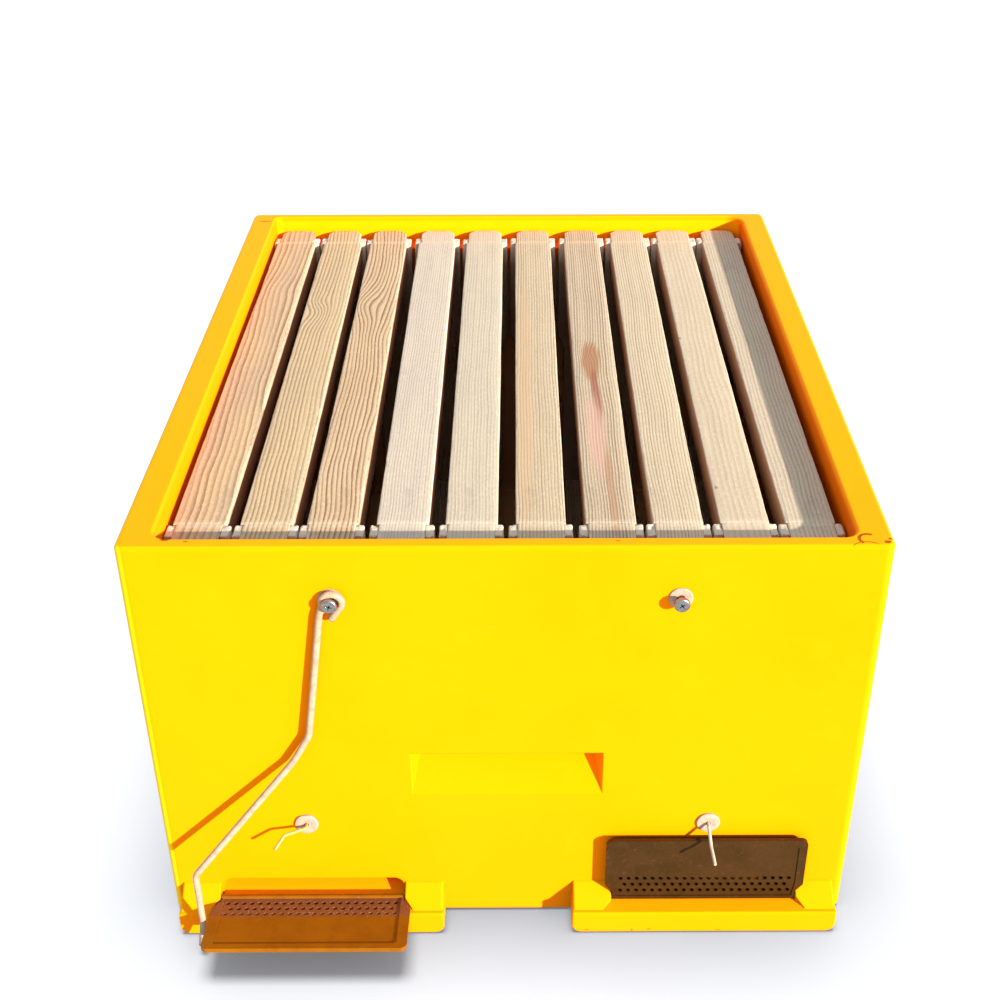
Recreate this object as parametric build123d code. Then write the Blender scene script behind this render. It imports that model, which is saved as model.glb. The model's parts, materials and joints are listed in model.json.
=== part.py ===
from build123d import *
import math
import os

# Moulded ten-frame hive body with its own floor, two bottom entrances with
# perforated flaps, turn latches, a hanging stay wire and ten Hoffman frames.
# Front wall faces -Y, +Z is up, origin at the centre of the underside. Millimetres.
# Many places are given by "out", the distance in front of the front wall
# (negative inside the wall). HW stands for half width.

os.makedirs("parts", exist_ok=True)

# ---------------------------------------------------------------- hive body
BODY_W = 412.0          # outside width, X
BODY_L = 494.0          # outside length, Y
BODY_H = 270.0          # outside height
CAV_W = 375.0           # clear width between the side walls
CAV_L = 450.0           # clear length between the end walls
FLOOR_T = 20.0
REBATE_F = 237.0        # front rebate wall, from the middle
REBATE_B = 239.5        # back rebate wall, from the middle
FRAME_DROP = 11.0       # top bars lie this far below the rim
LUG_T = 10.0            # thickness of the top bars' lugs
CORNER_R = 5.5          # outer vertical corners
RIM_R = 2.5             # rim's outer edge
RIM_IN_R = 2.0          # rim's inner edge
FOOT_R = 3.0            # bottom edge
REBATE_FRONT_R = 8.0    # both front rebate corners
REBATE_RIGHT_R = 12.0   # back right rebate corner
REBATE_LEFT_R = 5.0     # back left rebate corner
CAV_R = 2.0             # vertical cavity corners
CAV_FLOOR_R = 3.0       # cavity floor edge
FRAME_TOP = BODY_H - FRAME_DROP
REBATE_Z = FRAME_TOP - LUG_T
FRONT_Y = -BODY_L / 2
OPEN_ABOVE = 5.0        # cutters run this far past the rim

# ---------------------------------------------------------------- entrances
ENT_X = 119.3           # entrance centre, either side of the middle
SLOT_HW = 55.5
SLOT_Z0 = 16.0          # slot floor at the outer face
SLOT_Z1 = 28.5          # slot top
SLOT_IN = 23.0          # depth of the slot into the wall
SLOT_OUT = 6.0          # the slot cutter starts this far in front of the wall
SLOT_R = 6.0            # upper corners
LEDGE_HW = 80.5         # landing ledge
LEDGE_D = 18.5          # ledge depth in front of the wall
LEDGE_Z = 16.0          # ledge top
LEDGE_R = 6.0           # lower corners of the ledge seen from the front
LEDGE_LIP_R = 1.6       # top front edge
EMBED = 6.0             # ledge and cheeks reach this far into the wall
CHEEK_HW = LEDGE_HW - 0.6
CHEEK_Z = 25.5          # cheek height at the wall
CHEEK_D = 15.5          # depth over which a cheek falls to the ledge top
CHEEK_LAP = 2.0         # the cheek sinks this far into the ledge
BAY_HW = 56.4           # between the cheeks near the wall
BAY_HW_FRONT = 61.2     # between the cheeks at their front
SPLAY_OUT0 = 8.5        # the bay starts to widen here
SPLAY_OUT1 = 14.5       # the bay has its full width here
SPLAY_OUT2 = 20.0       # front end of the widening cutter
SPLAY_H = 40.0          # height of the widening cutter

# Radius of each cheek and ledge rounding, then the middle of each rounded edge:
# (distance from the entrance centre, out, z, length)
ENTRANCE_ROUNDINGS = [
    (1.6, [(CHEEK_HW, 8.3, 20.5, 16.9)]),           # cheeks' outer slopes
    (1.2, [                                         # front outline of the ledges
        (LEDGE_HW, LEDGE_D, 10.2, 8.4),
        (78.7, LEDGE_D, 1.8, 9.4),
        (0.0, LEDGE_D, 0.0, 2 * (LEDGE_HW - LEDGE_R)),
    ]),
    (0.8, [(BAY_HW, 4.8, 22.7, 8.6)]),              # cheeks' inner slopes
]
PLACE_TOL = 0.35
LENGTH_TOL = 0.6

# ---------------------------------------------------------------- hand grips
GRIP_W = 111.0          # width of the mouth
GRIP_W_IN = 102.0       # width of the inner end
GRIP_Z0 = 96.7
GRIP_Z1 = 127.6
GRIP_IN_Z0 = GRIP_Z1 - 9.0
GRIP_IN_Z1 = GRIP_Z1 - 0.8
GRIP_D = 11.0
GRIP_R = 1.0            # rounding of the mouth

# Outer wall faces with local X across the wall and local Y up
WALLS = [
    Plane(origin=(0, -BODY_L / 2, 0), x_dir=(1, 0, 0), z_dir=(0, -1, 0)),   # front
    Plane(origin=(0, BODY_L / 2, 0), x_dir=(-1, 0, 0), z_dir=(0, 1, 0)),    # back
    Plane(origin=(-BODY_W / 2, 0, 0), x_dir=(0, -1, 0), z_dir=(-1, 0, 0)),  # left
    Plane(origin=(BODY_W / 2, 0, 0), x_dir=(0, 1, 0), z_dir=(1, 0, 0)),     # right
]

# ---------------------------------------------------------------- entrance flap
HINGE_OUT = 6.0         # hinge axis in front of the wall
HINGE_Z = 18.0          # hinge axis height
KNUCKLE_R = 1.7         # hinge bead
PIN_R = 0.9
PIN_CLEAR = 0.05        # round the pin in the flap
PIN_START = 49.0        # pin's inner end, from the flap's middle
PIN_BORE_START = 48.0   # end of the pin bore in the flap
PIN_GRIP = 6.5          # the pin reaches this far into the cheek
REST_OPEN = 82.0        # the left flap rests this far open, degrees
PLATE_T = 2.0
FLAP_OUT = HINGE_OUT + KNUCKLE_R    # outer face of the closed flap
PLATE_IN = FLAP_OUT - PLATE_T       # inner face of its plate
# Heights on the flap are measured from the hinge axis
FLAP_FOOT = -1.7        # foot edge
FLAP_TOP = 47.3         # free edge
FLAP_HW = 60.2
FLAP_HW_FOOT = 55.6     # beside the hinge
FLAP_NARROW_Z = 5.0     # the sides widen from here
FLAP_WIDE_Z = 11.0      # to here
FLAP_CORNER_R = 4.0     # rounded corners of the free edge
FLANGE_D = 2.7          # border depth, from the outer face
FLANGE_HW = 54.0        # inside the side borders
FLANGE_T = 4.2          # border width along the free edge
FLANGE_Z0 = 2.6         # lower end of the border
BEVEL = 0.9             # bevel of the foot's outer edge
PANEL_STEP = 0.6        # panel lies this far behind the flap's outer border
PANEL_MARGIN = 5.0      # width of the outer border
PANEL_Z0 = 1.6          # panel foot
PANEL_WIDE_Z = 12.0     # the panel has its full width above this
CHAMFER = 1.5           # corners of the panel and of the border's opening
PERF_R = 1.4
PERF_PITCH = 4.86
PERF_ROW = 5.0          # row spacing
PERF_ROW0 = 6.0         # first row above the axis
PERF_COUNTS = [22, 21, 22]

# ---------------------------------------------------------------- screws and latches
SCREW_X = 94.0
SCREW_Z = 237.3
WASHER_R = 6.7
WASHER_T = 1.1
WASHER_CLEAR = 0.15
SHANK_R = 2.0
SHANK_IN = 16.0         # screw depth in the wall
HEAD_R = 4.4
HEAD_OUT0 = 5.6
HEAD_OUT1 = 8.2
HEAD_EDGE_R = 1.2
CROSS_L = 4.4           # cross recess: length, width and cutter height
CROSS_W = 0.9
CROSS_H = 2.4
LATCH_X = 119.5
LATCH_Z = 74.0
LATCH_R = 1.0           # latch wire
LATCH_IN = 12.0         # latch wire depth in the wall
LATCH_BEND_OUT = 4.2    # first bend of the latch wire
LATCH_BENDS = [1.6, 3.0]
BUSH_R = 7.1            # bush flange
BUSH_T = 1.6
BUSH_EDGE_R = 0.7
BUSH_SHANK_R = 2.4
BUSH_IN = 13.5          # bush depth in the wall
BUSH_BORE_IN = 12.5
BUSH_BORE_CLEAR = 0.05
FIT = 0.02              # radial room of screws, bushes and pins in the body

# ---------------------------------------------------------------- stay wire
STAY_R = 2.0
EYE_X = -SCREW_X + 1.1
EYE_Z = SCREW_Z - 0.2
EYE_R = 5.4
EYE_OUT = 3.3
EYE_START = -48.0       # degrees from +X towards +Z
EYE_END = 197.0
EYE_TIP = (-94.6, EYE_OUT, 225.4)
# Leg below the eye: (x, out, z)
STAY_LEG = [
    (-100.2, 3.4, 229.0),
    (-112.0, 4.4, 145.5),
    (-122.6, 5.8, 127.0),
    (-182.4, 27.7, 59.3),
    (-182.9, 26.2, 19.5),
    (-183.5, 33.5, 6.0),
]
STAY_BENDS = [12.0, 14.0, 16.0, 7.0, 6.0]

# ---------------------------------------------------------------- frames
# (x, top bar width, front and back staple offsets in X from the bar's middle)
FRAMES = [
    (-168.8, 30.0, -1.5, -6.4), (-131.8, 29.6, 3.6, 6.0), (-95.5, 28.6, 2.2, -6.8),
    (-56.9, 29.2, -2.4, -7.2), (-18.9, 29.2, 6.2, 6.6), (19.3, 28.0, -1.2, 6.8),
    (58.1, 28.4, 2.6, 7.0), (95.1, 28.4, -3.0, -7.4), (131.9, 27.6, 4.0, -7.0),
    (168.2, 28.2, 1.0, 6.2),
]
FRAME_Y = 3.0           # the frames sit a little back in their rebates
BAR_L = 470.0           # top bar over its lugs
BAR_T = 19.0
LUG_W = 26.0
LUG_TIP_X = 4.0         # chamfer of the lug tips, across and along
LUG_TIP_Y = 5.0
GROOVE_HW = 1.6         # groove under the top bar
GROOVE_D = 5.0
FRAME_L = 440.0         # over the side bars
FRAME_H = 230.0
SIDE_T = 11.0
SIDE_W = 36.0           # spacing shoulder
SIDE_W_LOW = 25.0
SIDE_DROP = 0.6         # side bars end this far below the top
SHOULDER_H = 80.0
SHOULDER_TAPER = 12.0   # height over which the shoulder narrows
FOOT_BAR_W = 20.0
FOOT_BAR_T = 10.0
WIRE_R = 0.35
WIRE_HOLE_R = 0.6
WIRE_LEVELS = [45.0, 92.0, 139.0, 186.0]   # above the frame's underside
FRAME_Z0 = FRAME_TOP - FRAME_H
FRAME_Y0 = FRAME_Y - FRAME_L / 2
FRAME_Y1 = FRAME_Y + FRAME_L / 2
STAPLE_W = 5.6          # staple crown
STAPLE_T = 0.9          # staple wire
STAPLE_L = 22.0         # staple legs
STAPLE_SINK = 0.15      # crown below the bar's top
STAPLE_FIT = 0.05


# ================================================================= helpers
def wall(out):
    """Y of a point this far in front of the front wall."""
    return FRONT_Y - out


def box(x0, x1, y0, y1, z0, z1):
    centre = Pos((x0 + x1) / 2, (y0 + y1) / 2, (z0 + z1) / 2)
    return centre * Box(abs(x1 - x0), abs(y1 - y0), abs(z1 - z0))


def cylinder_y(x, z, out0, out1, radius):
    centre = Pos(x, (wall(out0) + wall(out1)) / 2, z)
    return centre * (Rot(90, 0, 0) * Cylinder(radius, abs(out1 - out0)))


def cylinder_x(x0, x1, out, z, radius):
    centre = Pos((x0 + x1) / 2, wall(out), z)
    return centre * (Rot(0, 90, 0) * Cylinder(radius, abs(x1 - x0)))


def prism(points, direction):
    """Extrudes the polygon through points along direction."""
    return Solid.extrude(Face(Wire.make_polygon(points, close=True)), Vector(*direction))


def prism_x(profile, x0, x1):
    """Extrudes an (out, z) profile along X."""
    return prism([Vector(x0, wall(out), z) for out, z in profile], (x1 - x0, 0, 0))


def mirrored(right_half):
    """Closes an outline with the mirror image of its right half."""
    return right_half + [(-across, along) for across, along in reversed(right_half)]


def round_edges(shape, radius, chosen, axis=None):
    """Fillets the edges whose centre is chosen, of those along axis if one is given."""
    edges = shape.edges()
    if axis is not None:
        edges = edges.filter_by(axis)
    return fillet([e for e in edges if chosen(e.center())], radius)


def bent_path(points, radii):
    """Edges through (x, out, z) points, their inner corners rounded to radii."""
    points = [Vector(x, wall(out), z) for x, out, z in points]
    edges = []
    start = points[0]
    for before, corner, after, radius in zip(points, points[1:], points[2:], radii):
        back = (before - corner).normalized()
        ahead = (after - corner).normalized()
        half_angle = math.acos(back.dot(ahead)) / 2
        tangent = radius / math.tan(half_angle)
        inward = (back + ahead).normalized()
        centre = corner + inward * (radius / math.sin(half_angle))
        arc_start = corner + back * tangent
        arc_end = corner + ahead * tangent
        # no straight piece where two bends meet
        if (arc_start - start).length > 1e-4:
            edges.append(Edge.make_line(start, arc_start))
        edges.append(Edge.make_three_point_arc(arc_start, centre - inward * radius, arc_end))
        start = arc_end
    edges.append(Edge.make_line(start, points[-1]))
    return edges


def wire_rod(edges, radius):
    path = Wire(edges)
    section = Plane(origin=path @ 0, z_dir=path % 0) * Circle(radius)
    return sweep(section, path=path).solid()


def save(shape, name):
    export_step(shape, f"parts/{name}.step")


def save_group(shapes, name):
    save(Compound(children=[shape.solid() for shape in shapes]), name)


# ================================================================= hive body
def ledge_pieces(centre_x):
    """Landing ledge and the two cheeks beside its entrance."""
    slab = box(
        centre_x - LEDGE_HW, centre_x + LEDGE_HW, wall(LEDGE_D), wall(-EMBED), 0, LEDGE_Z
    )
    slab = round_edges(slab, LEDGE_R, lambda c: c.Z < 1, Axis.Y)
    slab = round_edges(
        slab, LEDGE_LIP_R,
        lambda c: c.Z > LEDGE_Z - 0.1 and c.Y < wall(LEDGE_D) + 0.1, Axis.X,
    )
    pieces = [slab]
    profile = [
        (-EMBED, LEDGE_Z - CHEEK_LAP), (CHEEK_D + 0.4, LEDGE_Z - CHEEK_LAP),
        (CHEEK_D, LEDGE_Z), (1.2, CHEEK_Z - 0.5), (-0.2, CHEEK_Z), (-EMBED, CHEEK_Z),
    ]
    # the cheek's inner side splays outwards beyond the hinge: (half width, out)
    splay_outline = [
        (BAY_HW - 1, SPLAY_OUT0), (BAY_HW, SPLAY_OUT0), (BAY_HW_FRONT, SPLAY_OUT1),
        (BAY_HW_FRONT, SPLAY_OUT2), (BAY_HW - 1, SPLAY_OUT2),
    ]
    for side in (-1, 1):
        wedge = prism_x(profile, centre_x + side * BAY_HW, centre_x + side * CHEEK_HW)
        splay = prism(
            [Vector(centre_x + side * x, wall(out), LEDGE_Z) for x, out in splay_outline],
            (0, 0, SPLAY_H),
        )
        pieces.append(wedge - splay)
    return pieces


def cavity_cut():
    cavity = box(
        -CAV_W / 2, CAV_W / 2, -CAV_L / 2, CAV_L / 2, FLOOR_T, BODY_H + OPEN_ABOVE
    )
    cavity = fillet(cavity.edges().filter_by(Axis.Z), CAV_R)
    return round_edges(cavity, CAV_FLOOR_R, lambda c: c.Z < FLOOR_T + 0.01)


def rebate_cut():
    """Lug rebates of both end walls in one cutter."""
    rebate = box(
        -CAV_W / 2, CAV_W / 2, -REBATE_F, REBATE_B, REBATE_Z, BODY_H + OPEN_ABOVE
    )
    rebate = round_edges(rebate, REBATE_FRONT_R, lambda c: c.Y < 0, Axis.Z)
    rebate = round_edges(rebate, REBATE_RIGHT_R, lambda c: c.Y > 0 and c.X > 0, Axis.Z)
    return round_edges(rebate, REBATE_LEFT_R, lambda c: c.Y > 0 and c.X < 0, Axis.Z)


def slot_cut(centre_x):
    """Entrance slot, its floor rising to the hive floor."""
    slot = prism_x(
        [
            (SLOT_OUT, SLOT_Z0), (0, SLOT_Z0), (-SLOT_IN, FLOOR_T),
            (-SLOT_IN, SLOT_Z1), (SLOT_OUT, SLOT_Z1),
        ],
        centre_x - SLOT_HW, centre_x + SLOT_HW,
    )
    return round_edges(
        slot, SLOT_R,
        lambda c: c.Z > SLOT_Z1 - 0.01 and abs(abs(c.X - centre_x) - SLOT_HW) < 0.01,
    )


def grip_cut(plane):
    mouth = plane * Pos(0, (GRIP_Z0 + GRIP_Z1) / 2, 0.05) * Rectangle(
        GRIP_W, GRIP_Z1 - GRIP_Z0
    )
    inner_end = plane * Pos(0, (GRIP_IN_Z0 + GRIP_IN_Z1) / 2, -GRIP_D) * Rectangle(
        GRIP_W_IN, GRIP_IN_Z1 - GRIP_IN_Z0
    )
    return loft([mouth, inner_end])


def soften(shell):
    """Moulded roundings of the rim, the grips, the cheeks and the ledge fronts."""
    shell = round_edges(
        shell, RIM_IN_R,
        lambda c: abs(c.Z - BODY_H) < 0.01
        and abs(c.X) < CAV_W / 2 + 0.5
        and -REBATE_F - 0.5 < c.Y < REBATE_B + 0.5,
    )
    for plane in WALLS:
        def on_mouth(centre):
            local = plane.to_local_coords(centre)
            return (
                abs(local.Z) < 0.02
                and abs(local.X) < GRIP_W / 2 + 1
                and GRIP_Z0 - 1 < local.Y < GRIP_Z1 + 1
            )

        shell = round_edges(shell, GRIP_R, on_mouth)

    def matches(edge, offset, out, z, length):
        c = edge.center()
        return (
            abs(abs(abs(c.X) - ENT_X) - offset) < PLACE_TOL
            and abs(FRONT_Y - c.Y - out) < PLACE_TOL
            and abs(c.Z - z) < PLACE_TOL
            and abs(edge.length - length) < LENGTH_TOL
        )

    for radius, places in ENTRANCE_ROUNDINGS:
        edges = [e for e in shell.edges() if any(matches(e, *place) for place in places)]
        shell = fillet(edges, radius)
    return shell


def make_body():
    shell = box(-BODY_W / 2, BODY_W / 2, -BODY_L / 2, BODY_L / 2, 0, BODY_H)
    shell = fillet(shell.edges().filter_by(Axis.Z), CORNER_R)
    shell = round_edges(shell, RIM_R, lambda c: c.Z > BODY_H - 0.01)
    shell = round_edges(shell, FOOT_R, lambda c: c.Z < 0.01)
    for centre_x in (-ENT_X, ENT_X):
        for piece in ledge_pieces(centre_x):
            shell = shell + piece
    shell = shell - cavity_cut()
    shell = shell - rebate_cut()
    for centre_x in (-ENT_X, ENT_X):
        shell = shell - slot_cut(centre_x)
    for plane in WALLS:
        shell = shell - grip_cut(plane)
    # holes for screws, latch bushes and hinge pins
    for side in (-1, 1):
        shell = shell - cylinder_y(
            side * SCREW_X, SCREW_Z, 1, -(SHANK_IN + 0.5), SHANK_R + FIT
        )
        shell = shell - cylinder_y(
            side * LATCH_X, LATCH_Z, 1, -(BUSH_IN + 0.5), BUSH_SHANK_R + FIT
        )
        for end in (-1, 1):
            shell = shell - cylinder_x(
                side * ENT_X + end * (BAY_HW - 1),
                side * ENT_X + end * (BAY_HW + PIN_GRIP + 0.5),
                HINGE_OUT, HINGE_Z, PIN_R + FIT,
            )
    return soften(shell)


# ================================================================= entrance flap
def make_flap(centre_x):
    """Closed flap: plate, border towards the wall, hinge bead, perforations."""

    def slab(outline, out0, out1):
        """Extrudes an outline of (x from the middle, height above the axis)."""
        points = [Vector(centre_x + x, wall(out0), HINGE_Z + rise) for x, rise in outline]
        return prism(points, (0, wall(out1) - wall(out0), 0))

    def round_top(shape):
        corners = [
            e for e in shape.edges().filter_by(Axis.Y)
            if abs(abs(e.center().X - centre_x) - FLAP_HW) < 0.05
            and abs(e.center().Z - HINGE_Z - FLAP_TOP) < 0.05
        ]
        return shape.fillet(FLAP_CORNER_R, corners)

    outline = mirrored([
        (FLAP_HW_FOOT, FLAP_FOOT), (FLAP_HW_FOOT, FLAP_NARROW_Z),
        (FLAP_HW, FLAP_WIDE_Z), (FLAP_HW, FLAP_TOP),
    ])
    plate = round_top(slab(outline, PLATE_IN, FLAP_OUT))

    # raised border along the sides and the free edge, towards the wall
    border_outline = [(x, max(rise, FLANGE_Z0)) for x, rise in outline]
    border = round_top(slab(border_outline, FLAP_OUT - FLANGE_D, PLATE_IN + 0.1))
    opening_top = FLAP_TOP - FLANGE_T
    opening = mirrored([
        (FLANGE_HW, 0.0), (FLANGE_HW, opening_top - CHAMFER),
        (FLANGE_HW - CHAMFER, opening_top),
    ])
    border = border - slab(opening, FLAP_OUT - FLANGE_D - 1, PLATE_IN + 0.2)
    flap = plate + border

    # the foot's outer edge is bevelled so that it turns clear of the ledge
    foot_z = HINGE_Z + FLAP_FOOT
    flap = flap - prism_x(
        [
            (FLAP_OUT - BEVEL, foot_z - 0.1), (FLAP_OUT + 0.1, foot_z - 0.1),
            (FLAP_OUT + 0.1, foot_z + BEVEL + 0.1), (FLAP_OUT, foot_z + BEVEL),
            (FLAP_OUT - BEVEL, foot_z),
        ],
        centre_x - FLAP_HW, centre_x + FLAP_HW,
    )

    # recessed panel on the outer face
    panel_hw = FLAP_HW - PANEL_MARGIN
    panel_top = FLAP_TOP - PANEL_MARGIN
    panel = mirrored([
        (panel_hw - CHAMFER, PANEL_Z0), (panel_hw, PANEL_WIDE_Z),
        (panel_hw, panel_top - CHAMFER), (panel_hw - CHAMFER, panel_top),
    ])
    flap = flap - slab(panel, FLAP_OUT - PANEL_STEP, FLAP_OUT + 1)

    # hinge bead along the foot
    flap = flap + cylinder_x(
        centre_x - FLAP_HW_FOOT, centre_x + FLAP_HW_FOOT, HINGE_OUT, HINGE_Z, KNUCKLE_R
    )

    holes = []
    for row, count in enumerate(PERF_COUNTS):
        z = HINGE_Z + PERF_ROW0 + row * PERF_ROW
        for i in range(count):
            x = centre_x + (i - (count - 1) / 2) * PERF_PITCH
            holes.append(cylinder_y(x, z, PLATE_IN - 1, FLAP_OUT + 1, PERF_R))
    flap = flap - holes

    for end in (-1, 1):
        flap = flap - cylinder_x(
            centre_x + end * PIN_BORE_START, centre_x + end * (FLAP_HW_FOOT + 1),
            HINGE_OUT, HINGE_Z, PIN_R + PIN_CLEAR,
        )
    return flap


def make_pin(centre_x, end):
    return cylinder_x(
        centre_x + end * PIN_START, centre_x + end * (BAY_HW + PIN_GRIP),
        HINGE_OUT, HINGE_Z, PIN_R,
    )


# ================================================================= screws and wires
def make_washer(x):
    disc = cylinder_y(x, SCREW_Z, 0, WASHER_T, WASHER_R)
    return disc - cylinder_y(x, SCREW_Z, -1, WASHER_T + 1, SHANK_R + WASHER_CLEAR)


def make_screw(x):
    shank = cylinder_y(x, SCREW_Z, -SHANK_IN, HEAD_OUT0 + 0.5, SHANK_R)
    head = cylinder_y(x, SCREW_Z, HEAD_OUT0, HEAD_OUT1, HEAD_R)
    head = round_edges(head, HEAD_EDGE_R, lambda c: abs(c.Y - wall(HEAD_OUT1)) < 0.01)
    centre = Pos(x, wall(HEAD_OUT1), SCREW_Z)
    recess = centre * Box(CROSS_L, CROSS_H, CROSS_W) + centre * Box(CROSS_W, CROSS_H, CROSS_L)
    return shank + head - recess


def make_bush(x):
    """Flanged bush with a blind bore for the latch wire."""
    flange = cylinder_y(x, LATCH_Z, 0, BUSH_T, BUSH_R)
    flange = round_edges(flange, BUSH_EDGE_R, lambda c: abs(c.Y - wall(BUSH_T)) < 0.01)
    bush = flange + cylinder_y(x, LATCH_Z, -BUSH_IN, 0.5, BUSH_SHANK_R)
    return bush - cylinder_y(x, LATCH_Z, -BUSH_BORE_IN, 3, LATCH_R + BUSH_BORE_CLEAR)


def make_latch(x, free_end):
    """Latch wire from its bush through the (x, out, z) points of its free end."""
    points = [(x, -LATCH_IN, LATCH_Z), (x, LATCH_BEND_OUT, LATCH_Z)] + free_end
    return wire_rod(bent_path(points, LATCH_BENDS), LATCH_R)


def make_stay():
    """Hanging stay: open eye round the left screw, long cranked leg, small foot hook."""

    def eye(degrees):
        angle = math.radians(degrees)
        return (EYE_X + EYE_R * math.cos(angle), EYE_OUT, EYE_Z + EYE_R * math.sin(angle))

    # from the free end, up the right side, over the top and down the left side
    tip, start, middle, end = [
        Vector(x, wall(out), z)
        for x, out, z in (
            EYE_TIP, eye(EYE_START), eye((EYE_START + EYE_END) / 2), eye(EYE_END)
        )
    ]
    edges = [Edge.make_line(tip, start), Edge.make_three_point_arc(start, middle, end)]
    edges += bent_path([eye(EYE_END)] + STAY_LEG, STAY_BENDS)
    return wire_rod(edges, STAY_R)


# ================================================================= frames
def staple(x, y, turned, fit=0.0):
    """A driven staple; with fit, the pocket it sits in, open at the top."""
    width, thick = STAPLE_W + 2 * fit, STAPLE_T + 2 * fit
    crown_z = FRAME_TOP - STAPLE_SINK + (5.0 if fit else 0.0)
    low = FRAME_TOP - STAPLE_L - fit
    under = FRAME_TOP - STAPLE_SINK - STAPLE_T - fit
    shape = box(-width / 2, width / 2, -thick / 2, thick / 2, under, crown_z)
    for side in (-1, 1):
        leg_x = side * (STAPLE_W - STAPLE_T) / 2
        shape = shape + box(
            leg_x - thick / 2, leg_x + thick / 2, -thick / 2, thick / 2, low, under + 0.2
        )
    return Pos(x, y, 0) * (Rot(0, 0, 90 if turned else 0) * shape)


def top_bar(x, width):
    """Full section between the side bars, thin neck and lugs beyond, groove below."""
    y0, y1 = FRAME_Y0 + SIDE_T, FRAME_Y1 - SIDE_T
    under = FRAME_TOP - BAR_T
    main = box(x - width / 2, x + width / 2, y0, y1, under, FRAME_TOP)
    half = BAR_L / 2
    outline = mirrored([
        (LUG_W / 2 - LUG_TIP_X, -half), (LUG_W / 2, -half + LUG_TIP_Y),
        (LUG_W / 2, half - LUG_TIP_Y), (LUG_W / 2 - LUG_TIP_X, half),
    ])
    lugs = prism(
        [Vector(x + across, FRAME_Y + along, REBATE_Z) for across, along in outline],
        (0, 0, LUG_T),
    )
    return main + lugs - box(x - GROOVE_HW, x + GROOVE_HW, y0, y1, under - 1, under + GROOVE_D)


def side_bar(x, y0):
    """Wide spacing shoulder above, narrow below, notched for both bars."""
    y1 = y0 + SIDE_T
    shoulder_z = FRAME_TOP - SHOULDER_H
    outline = mirrored([
        (SIDE_W_LOW / 2, FRAME_Z0), (SIDE_W_LOW / 2, shoulder_z - SHOULDER_TAPER),
        (SIDE_W / 2, shoulder_z), (SIDE_W / 2, FRAME_TOP - SIDE_DROP),
    ])
    bar = prism([Vector(x + across, y0, z) for across, z in outline], (0, SIDE_T, 0))
    bar = bar - box(x - LUG_W / 2, x + LUG_W / 2, y0 - 1, y1 + 1, REBATE_Z, FRAME_TOP + 1)
    bar = bar - box(
        x - FOOT_BAR_W / 2, x + FOOT_BAR_W / 2, y0 - 1, y1 + 1,
        FRAME_Z0 - 1, FRAME_Z0 + FOOT_BAR_T,
    )
    for level in WIRE_LEVELS:
        hole = Rot(90, 0, 0) * Cylinder(WIRE_HOLE_R, SIDE_T + 2)
        bar = bar - Pos(x, (y0 + y1) / 2, FRAME_Z0 + level) * hole
    return bar


def save_frame(number, x, bar_width, front_offset, back_offset):
    top = top_bar(x, bar_width)
    sides = [side_bar(x, y0) for y0 in (FRAME_Y0, FRAME_Y1 - SIDE_T)]
    bottom = box(
        x - FOOT_BAR_W / 2, x + FOOT_BAR_W / 2, FRAME_Y0, FRAME_Y1,
        FRAME_Z0, FRAME_Z0 + FOOT_BAR_T,
    )
    wires = [
        Pos(x, FRAME_Y, FRAME_Z0 + level) * (Rot(90, 0, 0) * Cylinder(WIRE_R, FRAME_L - 1.0))
        for level in WIRE_LEVELS
    ]
    # one staple at each joint, driven down through the lug into the side bar
    staples = []
    for place in (
        (x + front_offset, FRAME_Y0 + SIDE_T / 2, False),
        (x + back_offset, FRAME_Y1 - SIDE_T / 2, True),
    ):
        staples.append(staple(*place))
        pocket = staple(*place, fit=STAPLE_FIT)
        top = top - pocket
        sides = [side - pocket for side in sides]

    prefix = f"frame_{number:02d}"
    save(top, f"{prefix}_top_bar")
    save_group(sides, f"{prefix}_side_bars")
    save(bottom, f"{prefix}_bottom_bar")
    save_group(wires, f"{prefix}_wires")
    save_group(staples, f"{prefix}_staples")


# ================================================================= build all
save(make_body(), "hive_body")

save(make_flap(ENT_X), "right_flap")
left_hinge = Axis((-ENT_X, wall(HINGE_OUT), HINGE_Z), (1, 0, 0))
save(make_flap(-ENT_X).rotate(left_hinge, REST_OPEN), "left_flap")
save_group(
    [make_pin(side * ENT_X, end) for side in (-1, 1) for end in (-1, 1)], "flap_hinge_pins"
)

save_group([make_washer(side * SCREW_X) for side in (-1, 1)], "screw_washers")
save_group([make_screw(side * SCREW_X) for side in (-1, 1)], "wall_screws")
save_group([make_bush(side * LATCH_X) for side in (-1, 1)], "latch_bushes")

save(make_latch(-LATCH_X, [(-131.6, 10.0, 73.8), (-137.0, 17.0, 68.6)]), "left_latch_wire")
save(make_latch(LATCH_X, [(120.3, 14.2, 67.4), (121.6, 25.6, 63.6)]), "right_latch_wire")
save(make_stay(), "stay_wire")

for number, frame in enumerate(FRAMES, start=1):
    save_frame(number, *frame)
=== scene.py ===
# A yellow moulded beehive body with ten wooden frames hanging in it, two brown entrance flaps
# on its front wall, and the screws, bushes and bent wires that go with them.
# X runs across the hive, -Y is its front, Z is up and the floor lies just below z = 0.
# The frames run front to back. Sizes and places are in millimetres unless noted.

import json
import math
from functools import reduce

import bmesh
import bpy
from mathutils import Matrix, Vector, noise

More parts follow.
